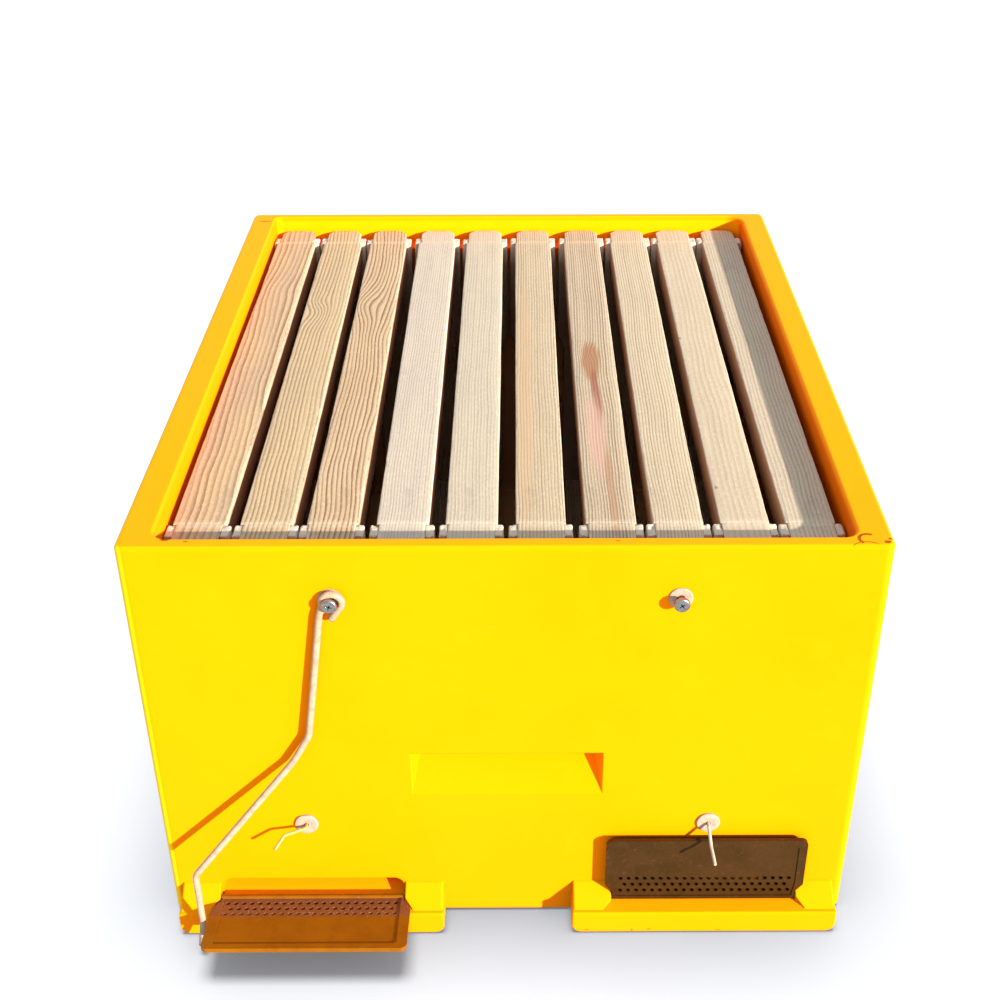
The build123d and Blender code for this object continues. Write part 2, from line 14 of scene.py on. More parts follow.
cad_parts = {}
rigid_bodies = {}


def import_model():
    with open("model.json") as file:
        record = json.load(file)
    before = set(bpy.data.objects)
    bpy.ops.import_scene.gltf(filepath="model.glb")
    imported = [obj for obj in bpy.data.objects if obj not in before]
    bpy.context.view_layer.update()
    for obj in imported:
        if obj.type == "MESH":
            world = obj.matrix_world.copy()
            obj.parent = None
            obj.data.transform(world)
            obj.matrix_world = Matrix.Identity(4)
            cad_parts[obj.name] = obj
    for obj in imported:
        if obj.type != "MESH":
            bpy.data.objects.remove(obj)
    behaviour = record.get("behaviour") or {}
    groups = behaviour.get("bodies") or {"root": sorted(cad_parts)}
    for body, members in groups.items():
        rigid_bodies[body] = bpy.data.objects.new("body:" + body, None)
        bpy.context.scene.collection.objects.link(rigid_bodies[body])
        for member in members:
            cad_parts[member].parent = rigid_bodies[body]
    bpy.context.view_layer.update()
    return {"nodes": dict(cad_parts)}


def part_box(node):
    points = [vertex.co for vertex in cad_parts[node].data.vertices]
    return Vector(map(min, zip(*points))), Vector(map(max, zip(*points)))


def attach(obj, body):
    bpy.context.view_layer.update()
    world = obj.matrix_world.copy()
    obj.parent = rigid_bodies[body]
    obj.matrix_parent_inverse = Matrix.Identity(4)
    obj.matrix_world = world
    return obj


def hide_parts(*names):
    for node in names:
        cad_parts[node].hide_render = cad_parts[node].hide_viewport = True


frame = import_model()
CAD_NODES = frame["nodes"]

for leftover in [o for o in bpy.data.objects if o.type in ("LIGHT", "CAMERA") or o.name == "Cube"]:
    bpy.data.objects.remove(leftover)

MM = 0.001               # metres in a millimetre

FRONT = -247.0           # y of the front wall's face
TOP = 259.0              # z of the top bars' upper face

FRAME_COUNT = 10
LUG_WIDTH = 26.0         # the ends of a top bar, which rest on the body
LUG_THICK = 10.0
SIDE_BAR_THICK = 11.0    # along y
JOINT_GAP = 0.05
GROOVE_DEPTH = 5.0       # along the underside of a top bar
GROOVE_HALF = 1.6
WAIST_HALF = 12.5        # half width of a side bar below its shoulders
SHOULDER_STEP = 5.5      # how much further each shoulder reaches

SCREW_X, SCREW_Z = 94.0, 237.3
LATCH_X, LATCH_Z = 119.5, 74.0
STAY_RADIUS = 1.99
LATCH_RADIUS = 0.995


# --------------------------------------------------------------------------- shader helpers


class Value:
    """A shader socket that takes arithmetic: each operation adds one Math node."""

    def __init__(self, shader, socket):
        self.shader = shader
        self.socket = socket

    def __add__(self, other):
        return self.shader.math("ADD", self, other)

    def __sub__(self, other):
        return self.shader.math("SUBTRACT", self, other)

    def __rsub__(self, other):
        return self.shader.math("SUBTRACT", other, self)

    def __mul__(self, other):
        return self.shader.math("MULTIPLY", self, other)

    def __truediv__(self, other):
        return self.shader.math("DIVIDE", self, other)

    def __abs__(self):
        return self.shader.math("ABSOLUTE", self)

    def max(self, other):
        return self.shader.math("MAXIMUM", self, other)

    def affine(self, times, plus, clamp=False):
        return self.shader.math("MULTIPLY_ADD", self, times, plus, clamp=clamp)

    def ramp(self, zero, one, low=0.0, high=1.0):
        """Goes smoothly from low, where the value is `zero`, to high, where it is `one`."""
        inputs = dict(enumerate((self, zero, one, low, high)))
        return self.shader.node("MapRange", inputs, interpolation_type="SMOOTHSTEP")

    def stretch(self, scales):
        return self.shader.node("VectorMath", {0: self, 1: scales}, operation="MULTIPLY")

    def split(self):
        """The three components of a vector."""
        first = self.shader.node("SeparateXYZ", {0: self})
        return [Value(self.shader, output) for output in first.socket.node.outputs]


class Shader:
    """Builds one procedural material: colour coats go on `base`, bumps pile up in `relief`."""

    def __init__(self, name):
        self.material = bpy.data.materials.new(name)
        self.material.use_nodes = True
        self.tree = self.material.node_tree
        self.tree.nodes.clear()
        output = self.tree.nodes.new("ShaderNodeOutputMaterial")
        self.bsdf = self.tree.nodes.new("ShaderNodeBsdfPrincipled")
        self.tree.links.new(self.bsdf.outputs[0], output.inputs[0])
        self.base = None
        self.relief = None
        position = self.node("TexCoord", output="Object")
        # object position in millimetres
        self.place = self.node("VectorMath", {0: position, "Scale": 1000.0}, operation="SCALE")

    def put(self, socket, value):
        """Links or sets an input; None leaves it alone, and colours get their alpha."""
        if isinstance(value, Value):
            self.tree.links.new(value.socket, socket)
        elif value is not None:
            if isinstance(value, tuple):
                value = (*value, 1.0)[:len(socket.default_value)]
            socket.default_value = value

    def node(self, kind, inputs=None, output=0, **settings):
        node = self.tree.nodes.new("ShaderNode" + kind)
        for key, value in settings.items():
            setattr(node, key, value)
        for socket, value in (inputs or {}).items():
            self.put(node.inputs[socket], value)
        return Value(self, node.outputs[output])

    def math(self, operation, *operands, clamp=False):
        inputs = dict(enumerate(operands))
        return self.node("Math", inputs, operation=operation, use_clamp=clamp)

    def join(self, x, y, z):
        return self.node("CombineXYZ", {0: x, 1: y, 2: z})

    def noise(self, scale=1.0, detail=2.0, rough=0.5, twist=0.0, at=None):
        inputs = {"Vector": at or self.place, "Scale": scale, "Detail": detail,
                  "Roughness": rough, "Distortion": twist}
        return self.node("TexNoise", inputs)

    def voronoi(self, scale, feature="F1", output="Distance", at=None):
        inputs = {"Vector": at or self.place, "Scale": scale}
        return self.node("TexVoronoi", inputs, output, feature=feature)

    def ellipse(self, x, y, centre_x, centre_y, radius_x, radius_y):
        """Squared distance from a centre, 1 on the ellipse with these radii."""
        across = (x - centre_x) * (1.0 / radius_x)
        along = (y - centre_y) * (1.0 / radius_y)
        return across * across + along * along

    def normal(self):
        return self.node("NewGeometry", output="Normal")

    def wear(self):
        return self.node("Attribute", output="Fac", attribute_name="wear")

    def crease(self, reach, zero, one):
        """Mask of the corners that are occluded within `reach` metres."""
        occlusion = self.node("AmbientOcclusion", {"Distance": reach}, "AO", samples=4)
        return occlusion.ramp(zero=zero, one=one)

    def mix(self, first, second, amount, blend="MIX"):
        inputs = {0: amount, 6: first, 7: second}
        return self.node("Mix", inputs, 2, data_type="RGBA", blend_type=blend)

    def coat(self, colour, amount, blend="MIX"):
        self.base = self.mix(self.base, colour, amount, blend)

    def bump(self, height, depth, strength):
        """Adds relief; depth is in millimetres."""
        inputs = {"Strength": strength, "Distance": depth * MM, "Height": height,
                  "Normal": self.relief}
        self.relief = self.node("Bump", inputs)

    def finish(self, rough, spec=None, metal=None, tint=None):
        inputs = {"Base Color": self.base, "Roughness": rough, "Metallic": metal,
                  "Normal": self.relief, "Specular IOR Level": spec, "Specular Tint": tint}
        for name, value in inputs.items():
            self.put(self.bsdf.inputs[name], value)
        return self.material


def union(masks):
    return reduce(Value.max, masks)


def shade(colour, factor):
    return tuple(channel * factor for channel in colour)


# --------------------------------------------------------------------------- body material

YELLOW_A = (0.95, 0.227, 0.0006)
YELLOW_B = (0.93, 0.219, 0.0004)
YELLOW_CLOUD = (0.96, 0.238, 0.0010)
# painted light on upward faces
YELLOW_TOP_LIT = (0.92, 0.272, 0.0012)
# painted shade of the inner walls, and painted light on the sunlit left inner wall
YELLOW_INSIDE_SHADE = (0.74, 0.100, 0.001)
YELLOW_INSIDE_LIT_LEFT = (0.97, 0.240, 0.0030)
YELLOW_SHADED = ((0.90, 0.520, 0.0020), (0.885, 0.502, 0.0015))

# rings moulded in the rim as shallow grooves, their shadow painted on one side: centre x, y,
# radius, half line width, bearing of the painted side in radians, and where along that bearing it
# starts, in radii
RIM_ARC_SHADOWS = (
    (191.5, -239.6, 4.7, 1.35, 2.5, -0.10),
    (190.0, -252.0, 9.5, 0.5, 1.65, 0.62),
)
# small nicks in the rim: centre x, y, radius along x, along y
RIM_NICKS = (
    (201.8, -242.6, 1.9, 1.5), (204.0, -239.6, 1.2, 1.0), (-179.5, -238.5, 2.6, 1.3),
    (-194.5, 230.5, 5.5, 0.9), (-168.0, -240.4, 1.5, 0.6), (60.0, -241.0, 1.4, 0.5),
)
# scuffs low on the ledge's front: centre x, z, radius along x, along z
LEDGE_RUBS = (
    (48.0, 2.2, 2.6, 0.9), (75.5, 2.0, 1.0, 1.6), (86.0, 2.6, 2.2, 1.0),
    (128.0, 1.8, 3.0, 0.7), (-62.0, 2.0, 2.6, 0.8),
)
FLAP_WALL_X = 119.3      # middle of the wall behind the right flap
SCOOP_Z = 132.0          # mid height of the part of the front that stays free of the painted crease shade


def inside_mask(x, y, z):
    """The inner walls; below the rebates only the cavity itself counts."""
    walls = abs(x).ramp(zero=188.4, one=187.2) * abs(y).ramp(zero=240.2, one=236.6)
    lip = x.ramp(zero=180.0, one=186.5).max(z.ramp(zero=260.0, one=250.0))
    inside = walls * z.ramp(zero=269.5, one=264.0) * lip
    cavity = abs(y).ramp(zero=227.2, one=225.6)
    return inside * z.ramp(zero=232.0, one=236.0).max(cavity)


def lit_back_lip_mask(y, z, normal_y):
    """The forward-facing lip of the back wall, painted a brighter yellow as light."""
    height = z.ramp(zero=250.0, one=256.0) * z.ramp(zero=268.4, one=265.5)
    return y.ramp(zero=222.0, one=228.0) * height * normal_y.ramp(zero=-0.3, one=-0.7)


def shaded_wall_mask(x, y, z, normal_x):
    """The outsides of the left and back walls."""
    below = z.ramp(zero=236.0, one=234.0)
    left = x.ramp(zero=-202.5, one=-204.0).max(x.ramp(zero=-189.0, one=-190.5) * below)
    left = left * y.ramp(zero=-246.2, one=-244.8)
    back = y.ramp(zero=243.5, one=245.0).max(y.ramp(zero=228.0, one=229.5) * below)
    walls = left.max(back) * z.ramp(zero=268.6, one=266.8)
    facing_left = normal_x.ramp(zero=-0.10, one=-0.45) * x.ramp(zero=-198.0, one=-200.5)
    return walls.max(facing_left)


def behind_flap_shade_mask(x, y, z):
    """The wall and slot behind the right flap, painted near black as the shade seen through its
    holes.
    """
    patch = abs(x - FLAP_WALL_X).ramp(zero=57.5, one=55.0) * z.ramp(zero=63.0, one=60.0)
    floor_edge = z.ramp(zero=22.0, one=25.0).max(y.ramp(zero=-247.6, one=-246.6))
    return patch * (y.ramp(zero=-190.0, one=-200.0) * floor_edge)


def crease_shade_mask(skin, y, z):
    """Painted shade in the creases, patchy, thinner low down and absent from the middle of the
    front.
    """
    crease = skin.crease(reach=0.008, zero=0.70, one=0.20)
    dark_crease = crease * skin.noise(scale=0.2, detail=3.0).affine(times=0.40, plus=0.04)
    dark_crease = dark_crease * z.ramp(zero=14.0, one=50.0, low=0.25)
    scoop = abs(z - SCOOP_Z).ramp(zero=50.0, one=40.0) * y.ramp(zero=-200.0, one=-215.0)
    return dark_crease * (1.0 - scoop)


def rim_arc_shadow(skin, x, y, centre_x, centre_y, radius, half_line, bearing, start):
    across, along = x - centre_x, y - centre_y
    distance = skin.math("SQRT", across * across + along * along)
    line = abs(distance - radius).ramp(zero=half_line, one=half_line * 0.35)
    side = across * math.cos(bearing) + along * math.sin(bearing)
    return line * side.ramp(zero=radius * start, one=radius * (start + 0.25))


def rim_nick(skin, x, y, *shape):
    ragged_x = x + skin.noise(scale=0.5) * 1.2
    return skin.ellipse(ragged_x, y, *shape).ramp(zero=1.2, one=0.5)


def ledge_rub(skin, x, z, *shape):
    ragged = skin.noise(scale=0.9, detail=3.0, rough=0.7) * 1.3
    return (skin.ellipse(x, z, *shape) + ragged).ramp(zero=1.35, one=0.85)


def body_skin():
    """Bright yellow moulded plastic: satin, faintly wavy, scuffed, stained inside."""
    skin = Shader("yellow_moulded_skin")
    x, y, z = skin.place.split()
    normal_x, normal_y, normal_z = skin.normal().split()
    cloud = skin.noise(scale=0.05, detail=4.0, rough=0.6)
    broad = skin.noise(scale=0.012, detail=3.0)
    skin.base = skin.mix(YELLOW_A, YELLOW_B, broad.ramp(zero=0.35, one=0.65))
    skin.coat(YELLOW_CLOUD, amount=cloud.ramp(zero=0.5, one=0.75) * 0.30)

    # fine scuffs drawn along the faces
    drawn = skin.join(x * 0.03, y * 0.03, z * 0.9)
    scuff = skin.noise(scale=1.0, detail=3.0, rough=0.7, twist=0.6, at=drawn)
    skin.coat((0.90, 0.32, 0.03), amount=scuff.ramp(zero=0.70, one=0.76) * 0.12)

    # specks of dust and propolis, thicker near the entrances
    speck = skin.voronoi(scale=0.16).ramp(zero=0.035, one=0.015)
    near = z.ramp(zero=60.0, one=5.0).affine(times=0.35, plus=0.05)
    skin.coat((0.30, 0.09, 0.004), amount=speck * near)

    # painted shade: the inner walls get a deeper orange, and the sunlit left inner wall gets a
    # brighter tone as painted light
    inside = inside_mask(x, y, z)
    inside_shade_tone = skin.mix(YELLOW_INSIDE_SHADE, YELLOW_INSIDE_LIT_LEFT, x.ramp(zero=-80.0, one=-175.0))
    skin.coat(inside_shade_tone, amount=inside * 0.85)

    # painted light: upward faces get a lighter, yellower tone
    open_air = z.ramp(zero=262.0, one=268.0).max(y.ramp(zero=-218.0, one=-224.0))
    skin.coat(YELLOW_TOP_LIT, amount=normal_z.ramp(zero=0.55, one=0.95) * open_air)

    # painted light: a paler brown deep in the cavity, so the deep gaps read brown rather than
    # black
    deep = inside * z.ramp(zero=245.0, one=225.0) * abs(y).ramp(zero=227.0, one=225.6)
    skin.coat((0.68, 0.36, 0.14), amount=deep * 0.9)
    # painted light: the forward-facing lip of the back wall gets a brighter yellow
    skin.coat((0.94, 0.280, 0.0010), amount=lit_back_lip_mask(y, z, normal_y))

    # the yellow is tuned to the strong key and turns orange in shade,
    # so the two shaded walls get a fuller yellow
    fuller = skin.mix(*YELLOW_SHADED, cloud.ramp(zero=0.35, one=0.70))
    skin.coat(fuller, amount=shaded_wall_mask(x, y, z, normal_x))

    # painted shade: the wall and slot behind the right flap are painted near black, and the
    # creases get patchy painted shade
    skin.coat((0.050, 0.014, 0.002), amount=behind_flap_shade_mask(x, y, z) * 0.88)
    skin.coat((0.46, 0.085, 0.0), amount=crease_shade_mask(skin, y, z))

    # painted shadows of the moulded rings on the rim, and real nicks in it
    arcs = [rim_arc_shadow(skin, x, y, *mark) for mark in RIM_ARC_SHADOWS]
    nicks = [rim_nick(skin, x, y, *nick) for nick in RIM_NICKS]
    arc_shadows_and_nicks = union(arcs + nicks) * z.ramp(zero=266.5, one=268.5)
    skin.coat((0.20, 0.03, 0.0), amount=arc_shadows_and_nicks * 0.85)

    # scuffs on the ledge's front
    rubs = union([ledge_rub(skin, x, z, *rub) for rub in LEDGE_RUBS])
    skin.coat((0.34, 0.10, 0.004), amount=rubs * y.ramp(zero=-264.0, one=-265.2) * 0.7)

    # what the outer walls hand on to their surroundings is kept neutral
    diffuse_ray = skin.node("LightPath", output="Is Diffuse Ray")
    outer = abs(x).ramp(zero=202.0, one=204.0).max(y.ramp(zero=-243.0, one=-245.0))
    skin.coat((0.17, 0.17, 0.185), amount=diffuse_ray * outer)

    pebble = skin.noise(scale=1.3, detail=3.0, rough=0.6)
    skin.bump(skin.noise(scale=0.03), depth=1.0, strength=0.25)
    skin.bump(skin.voronoi(scale=0.33, feature="SMOOTH_F1"), depth=0.10, strength=0.22)
    skin.bump(pebble, depth=0.05, strength=0.4)
    skin.bump(arc_shadows_and_nicks, depth=-0.4, strength=0.8)
    rough = cloud * 0.18 + pebble.affine(times=0.08, plus=0.36)
    return skin.finish(rough=rough, spec=0.035, tint=(1.0, 0.62, 0.02))


# --------------------------------------------------------------------------- wood material

LIGHT_WOOD_SCALE = (0.585, 0.56, 0.545)    # per channel, on all light timber tones
DARK_WOOD_SCALE = 0.46
STAIN_SCALE = 0.62
STAIN_RAGGEDNESS = 1.0
KNOT_LENGTH = 2.1                          # length of a knot over its width
# painted shade of the gaps between the frames
GAP_SHADE_FLANK = (0.400, 0.175, 0.080)
GAP_SHADE_SIDE = (0.400, 0.270, 0.165)


def name_number(text):
    """A fixed number for a name, the same in every run."""
    value = 7
    for character in text:
        value = (value * 131 + ord(character)) % 1000003
    return value


def light_timber(colour):
    return tuple(channel * scale for channel, scale in zip(colour, LIGHT_WOOD_SCALE))


class Wood(Shader):
    """Softwood cut from a trunk. Coordinates run across, along and in depth of the grain."""

    def __init__(self, name, centre_x, top_z, upright):
        super().__init__(name)
        origin = {0: self.place, 1: (centre_x, 0.0, top_z)}
        x, y, z = self.node("VectorMath", origin, operation="SUBTRACT").split()
        self.across, self.along, self.depth = (x, z, y) if upright else (x, y, z)
        self.seed = float(name_number(name) % 97) * 3.1
        self.point = self.join(self.across + self.seed, self.along, self.depth)

    def grain(self, across, along, **settings):
        """Noise with one frequency across the grain and another along it."""
        return self.noise(at=self.point.stretch((across, along, across)), **settings)

    def wander(self, warp, sway):
        """Sideways drift of the grain: slow, fine, and an optional sine."""
        slow = self.grain(0.018, 0.0085, rough=0.45)
        fine = self.grain(0.06, 0.022)
        bend = (slow - 0.5) * (warp * 5.0) + (fine - 0.5) * (warp * 0.9)
        size, length, phase = sway
        if size:
            wave = self.along.affine(times=2 * math.pi / length, plus=phase)
            bend = bend + self.math("SINE", wave) * size
        return bend

    def pith_distance(self, bend, pith, tilt):
        across = (self.across + bend) - self.along.affine(times=tilt[0], plus=pith[0])
        depth = (self.depth + bend * 0.35) - self.along.affine(times=tilt[1], plus=pith[1])
        return self.math("SQRT", across * across + depth * depth)

    def push_knots(self, distance, knots):
        """Swells the rings round each knot; returns them and the masks of the dark cores."""
        cores = []
        for x, y, size, push, darkness in knots:
            reach = self.ellipse(self.across, self.along, x, y, size, size * KNOT_LENGTH)
            distance = distance + self.math("POWER", 2.718, reach * -0.7) * push
            if darkness:
                ragged = reach + self.noise(scale=0.4, detail=3.0, at=self.point) * 0.25
                cores.append(ragged.ramp(zero=0.42, one=0.10) * darkness)
        return distance, cores

    def late_wood(self, distance, ring, late, contrast):
        """Mask of the dark part of each year's ring, of varying strength."""
        years = distance / ring + self.grain(0.25, 0.02) * 0.35
        year = self.math("FLOOR", years)
        part = self.math("FRACT", years)
        band = part.ramp(zero=late - 0.40, one=0.90) * part.ramp(zero=1.0, one=0.93)
        chance = self.node("TexWhiteNoise", {"W": year + self.seed}, "Value",
                           noise_dimensions="1D")
        strength = chance.affine(times=0.55, plus=0.55)
        return self.math("MULTIPLY", band * strength, contrast, clamp=True)

    def coat_fibres(self, streak, light, dark):
        """Dark and pale streaks, furry unevenness and the dashes of resin canals."""
        furry = self.grain(1.1, 0.30, detail=4.0, rough=0.75)
        self.coat(shade(dark, 0.55), amount=streak.ramp(zero=0.52, one=0.30) * 0.15)
        self.coat((0.56, 0.48, 0.36), amount=streak.ramp(zero=0.58, one=0.78) * 0.21)
        self.coat(shade(light, 0.60), amount=furry.ramp(zero=0.50, one=0.34) * 0.34)
        self.coat((0.60, 0.51, 0.40), amount=furry.ramp(zero=0.52, one=0.68) * 0.34)
        canal = self.voronoi(scale=1.0, at=self.point.stretch((0.9, 0.06, 0.9)))
        self.coat(shade(dark, 0.5), amount=canal.ramp(zero=0.10, one=0.04) * 0.35)

    def coat_stains(self, bend, stains):
        for x, y, radius_x, radius_y, colour, amount in stains:
            reach = self.ellipse(self.across + bend, self.along, x, y, radius_x, radius_y)
            ragged = (self.grain(0.5, 0.05, detail=3.0) - 0.5) * STAIN_RAGGEDNESS
            mask = (reach + ragged).ramp(zero=1.1, one=0.25)
            self.coat(shade(colour, STAIN_SCALE), amount=mask * amount)

    def coat_wear(self):
        """Sawn arrises are paler and furry."""
        fuzz = self.grain(0.8, 0.25, detail=3.0, rough=0.7).ramp(zero=0.30, one=0.62)
        self.coat((0.60, 0.50, 0.37), amount=self.wear() * fuzz * 0.45)

    def coat_gap_shade(self, upright):
        if upright:
            # painted shade: side bars are a darker brown below their shoulders, deep in the gaps
            self.coat(GAP_SHADE_SIDE, amount=self.along.ramp(zero=-13.0, one=-19.0) * 0.92)
            return
        # painted shade: sides turned from the key, and the lower part of the sides facing it, are
        # brown as the shade in the gaps
        normal_x, _, normal_z = self.normal().split()
        side = normal_x.ramp(zero=0.55, one=0.05).max(self.depth.ramp(zero=-2.6, one=-4.2))
        self.coat(GAP_SHADE_FLANK, amount=normal_z.ramp(zero=0.75, one=0.25) * side * 0.90)


def pine(name, light, dark, ring, pith, warp, contrast, centre_x=0.0, top_z=TOP,
         tilt=(0.0, 0.0), sway=(0.0, 90.0, 0.0), knots=(), stains=(), upright=False,
         late=0.62, tone=0.5, second=None):
    """One timber.

    light, dark, second: tones of the early wood, the late wood and the light variation
    ring: ring spacing; late: where in a ring the late wood sets in; contrast: its strength
    pith: the trunk's centre, across and in depth; tilt: its drift along the bar
    warp: how much the grain wanders; sway: a sine's size, length and phase
    knots: across, along, size, push on the rings, darkness of the core
    stains: across, along, radius across, radius along, colour, amount
    tone: strength of the light variation; upright: the grain runs along z
    """
    wood = Wood(name, centre_x, top_z, upright)
    light = light_timber(light)
    second = light_timber(second) if second else shade(light, 0.88)
    dark = shade(dark, DARK_WOOD_SCALE)

    bend = wood.wander(warp, sway)
    distance, cores = wood.push_knots(wood.pith_distance(bend, pith, tilt), knots)
    band = wood.late_wood(distance, ring, late, contrast)
    patches = wood.grain(0.05, 0.008, detail=3.0, rough=0.6).ramp(zero=0.38, one=0.66)
    wood.base = wood.mix(light, second, patches * tone)
    wood.coat(dark, amount=band)
    streak = wood.grain(1.7, 0.055, detail=4.0, rough=0.70)
    wood.coat_fibres(streak, light, dark)
    wood.coat_stains(bend, stains)
    if cores:
        wood.coat((0.075, 0.030, 0.012), amount=union(cores))
    wood.coat_wear()
    wood.coat_gap_shade(upright)

    # handling grime
    dirt = wood.grain(0.05, 0.02, detail=4.0, rough=0.6).ramp(zero=0.60, one=0.78)
    wood.coat((0.13, 0.095, 0.065), amount=dirt * 0.22)

    # fibres and late wood stand up, then saw marks across the grain
    wood.bump(streak * 0.6 + band * 0.8, depth=0.16, strength=0.8)
    wood.bump(wood.grain(0.15, 1.1), depth=0.05, strength=0.6)
    return wood.finish(rough=band.affine(times=-0.12, plus=0.72), spec=0.25)


# --------------------------------------------------------------------------- other materials

# one row per slant of scratch: drift along x, weight of y + z across it, weight of x across it
SCRATCH_SLANTS = ((0.02, 0.9, 0.0), (0.35, 0.55, 0.1375), (-0.22, 0.8, -0.2))


def scratch_mask(flap, x, y, z):
    layers = []
    for layer, (drift, weight, slant) in enumerate(SCRATCH_SLANTS):
        along = x.affine(times=drift, plus=layer * 5.3)
        across = (y + z) * weight + x * slant
        place = flap.join(along * 0.5, across, float(layer))
        lines = flap.noise(scale=1.3, detail=3.0, rough=0.7, twist=0.4, at=place)
        layers.append(lines.ramp(zero=0.685, one=0.735))
    return union(layers) * flap.noise(scale=0.045).ramp(zero=0.42, one=0.62)


def coat_hinge_strip(flap, y, mottle, colour):
    """The perforated strip beside the hinge is rubbed and dusted with wax."""
    strip = y.ramp(zero=-273.0, one=-270.0) * y.ramp(zero=-253.5, one=-255.5)
    flap.coat(colour, amount=strip * mottle.affine(times=0.6, plus=0.35))
    wax = flap.noise(scale=0.75, detail=4.0, rough=0.75).ramp(zero=0.60, one=0.68) * strip
    flap.coat((0.42, 0.30, 0.24), amount=wax * 0.8)


def flap_plastic(name, tone_a, tone_b, scratch, scratch_amount, dust, strip=None):
    """Moulded brown plastic, scuffed and dusty, with wax-pale scratches."""
    flap = Shader(name)
    x, y, z = flap.place.split()
    cloud = flap.noise(scale=0.06, detail=4.0, rough=0.6)
    flap.base = flap.mix(tone_a, tone_b, cloud.ramp(zero=0.35, one=0.68))
    mottle = flap.noise(scale=0.35, detail=4.0, rough=0.7)
    flap.coat(scratch, amount=mottle.ramp(zero=0.55, one=0.75) * 0.35)
    scratches = scratch_mask(flap, x, y, z)
    flap.coat(scratch, amount=scratches * scratch_amount)
    specks = flap.voronoi(scale=0.55).ramp(zero=0.13, one=0.05)
    specks = specks * flap.noise(scale=0.09, detail=3.0).ramp(zero=0.50, one=0.66)
    flap.coat(dust, amount=specks * 0.5)
    if strip:
        coat_hinge_strip(flap, y, mottle, strip)
    flap.coat(scratch, amount=flap.wear() * 0.5)
    flap.bump(flap.noise(scale=3.5, detail=3.0, rough=0.6), depth=0.03, strength=0.6)
    flap.bump(flap.noise(scale=0.25), depth=0.25, strength=0.35)
    flap.bump(scratches, depth=-0.04, strength=0.8)
    rough = mottle * 0.22 + scratches.affine(times=0.12, plus=0.28)
    return flap.finish(rough=rough, spec=0.25, tint=(1.0, 0.55, 0.12))


def pale_plastic():
    """Soiled pale plastic of the small fittings, with painted shade in its creases."""
    plastic = Shader("pale_plastic_fittings")
    cloud = plastic.noise(scale=0.35, detail=4.0, rough=0.65)
    plastic.base = plastic.mix((0.42, 0.275, 0.200), (0.34, 0.20, 0.135),
                               cloud.ramp(zero=0.35, one=0.7))
    speck = plastic.noise(scale=1.7, detail=4.0, rough=0.75).ramp(zero=0.58, one=0.70)
    plastic.coat((0.14, 0.07, 0.035), amount=speck * 0.6)
    # painted shade in the creases
    crease = plastic.crease(reach=0.003, zero=0.85, one=0.35)
    plastic.coat((0.20, 0.08, 0.02), amount=crease * 0.6)
    plastic.bump(plastic.noise(scale=1.1, detail=3.0, rough=0.6), depth=0.12, strength=0.7)
    return plastic.finish(rough=cloud.affine(times=0.2, plus=0.32), spec=0.35)


def bare_metal(name, bright, dull, smoothest, roughest, rust):
    """Clouded metal with rust spots, painted darker where it turns away from the view as a painted
    reflection of dark surroundings.
    """
    metal = Shader(name)
    cloud = metal.noise(scale=0.6, detail=4.0, rough=0.65)
    metal.base = metal.mix(bright, dull, cloud.ramp(zero=0.35, one=0.65))
    spangle = metal.voronoi(scale=0.9, output="Color")
    metal.coat(spangle, amount=0.10, blend="OVERLAY")
    spot = metal.noise(scale=0.8, detail=5.0, rough=0.75).ramp(zero=0.62, one=0.75)
    metal.coat((0.26, 0.12, 0.05), amount=spot * rust)
    metal.bump(metal.noise(scale=5.0, detail=3.0, rough=0.6), depth=0.02, strength=0.6)
    # painted reflection: darker toward grazing angles
    facing = metal.node("LayerWeight", {"Blend": 0.5}, "Facing")
    metal.coat((0.10, 0.075, 0.055), amount=facing.ramp(zero=0.42, one=0.80, high=0.85))
    rough = cloud.ramp(zero=0.2, one=0.8, low=smoothest, high=roughest)
    return metal.finish(rough=rough, metal=spot.affine(times=-0.6 * rust, plus=1.0, clamp=True))


def coated_wire(name, tone_a, tone_b, shaded_foot=False):
    """Coated wire: glossy, pitted, grimed, and optionally painted dull grey near its foot as the
    shade where the wire bends.
    """
    wire = Shader(name)
    cloud = wire.noise(scale=0.22, detail=4.0, rough=0.6)
    wire.base = wire.mix(tone_a, tone_b, cloud.ramp(zero=0.35, one=0.7))
    dirt = wire.noise(scale=0.7, detail=4.0, rough=0.7).ramp(zero=0.58, one=0.72)
    wire.coat((0.16, 0.09, 0.04), amount=dirt * 0.40)
    if shaded_foot:
        # painted shade: a grey band low on the wire, where it bends
        z = wire.place.split()[2]
        foot_shade = z.ramp(zero=13.5, one=11.5) * z.ramp(zero=5.2, one=6.4)
        wire.coat((0.14, 0.12, 0.11), amount=foot_shade * 0.85)
    chip = wire.noise(scale=0.45, detail=5.0, rough=0.8).ramp(zero=0.66, one=0.70)
    wire.coat((0.10, 0.085, 0.075), amount=chip * 0.7)
    wire.bump(wire.noise(scale=0.9, detail=3.0, rough=0.6), depth=0.10, strength=0.6)
    wire.bump(chip, depth=-0.08, strength=0.8)
    return wire.finish(rough=cloud.affine(times=0.18, plus=0.25), spec=0.4)


def floor_paint():
    """Neutral grey sweep."""
    paint = Shader("studio_floor")
    cloud = paint.noise(scale=0.004, detail=3.0)
    paint.base = paint.mix((0.300, 0.300, 0.303), (0.292, 0.292, 0.296),
                           cloud.ramp(zero=0.3, one=0.7))
    paint.bump(paint.noise(scale=0.35, detail=3.0, rough=0.6), depth=0.05, strength=0.3)
    # a trace of glow stands in for light scattered through the pale sweep
    paint.bsdf.inputs["Emission Color"].default_value = (1.0, 1.0, 1.0, 1.0)
    paint.bsdf.inputs["Emission Strength"].default_value = 0.12
    return paint.finish(rough=0.75, spec=0.2)


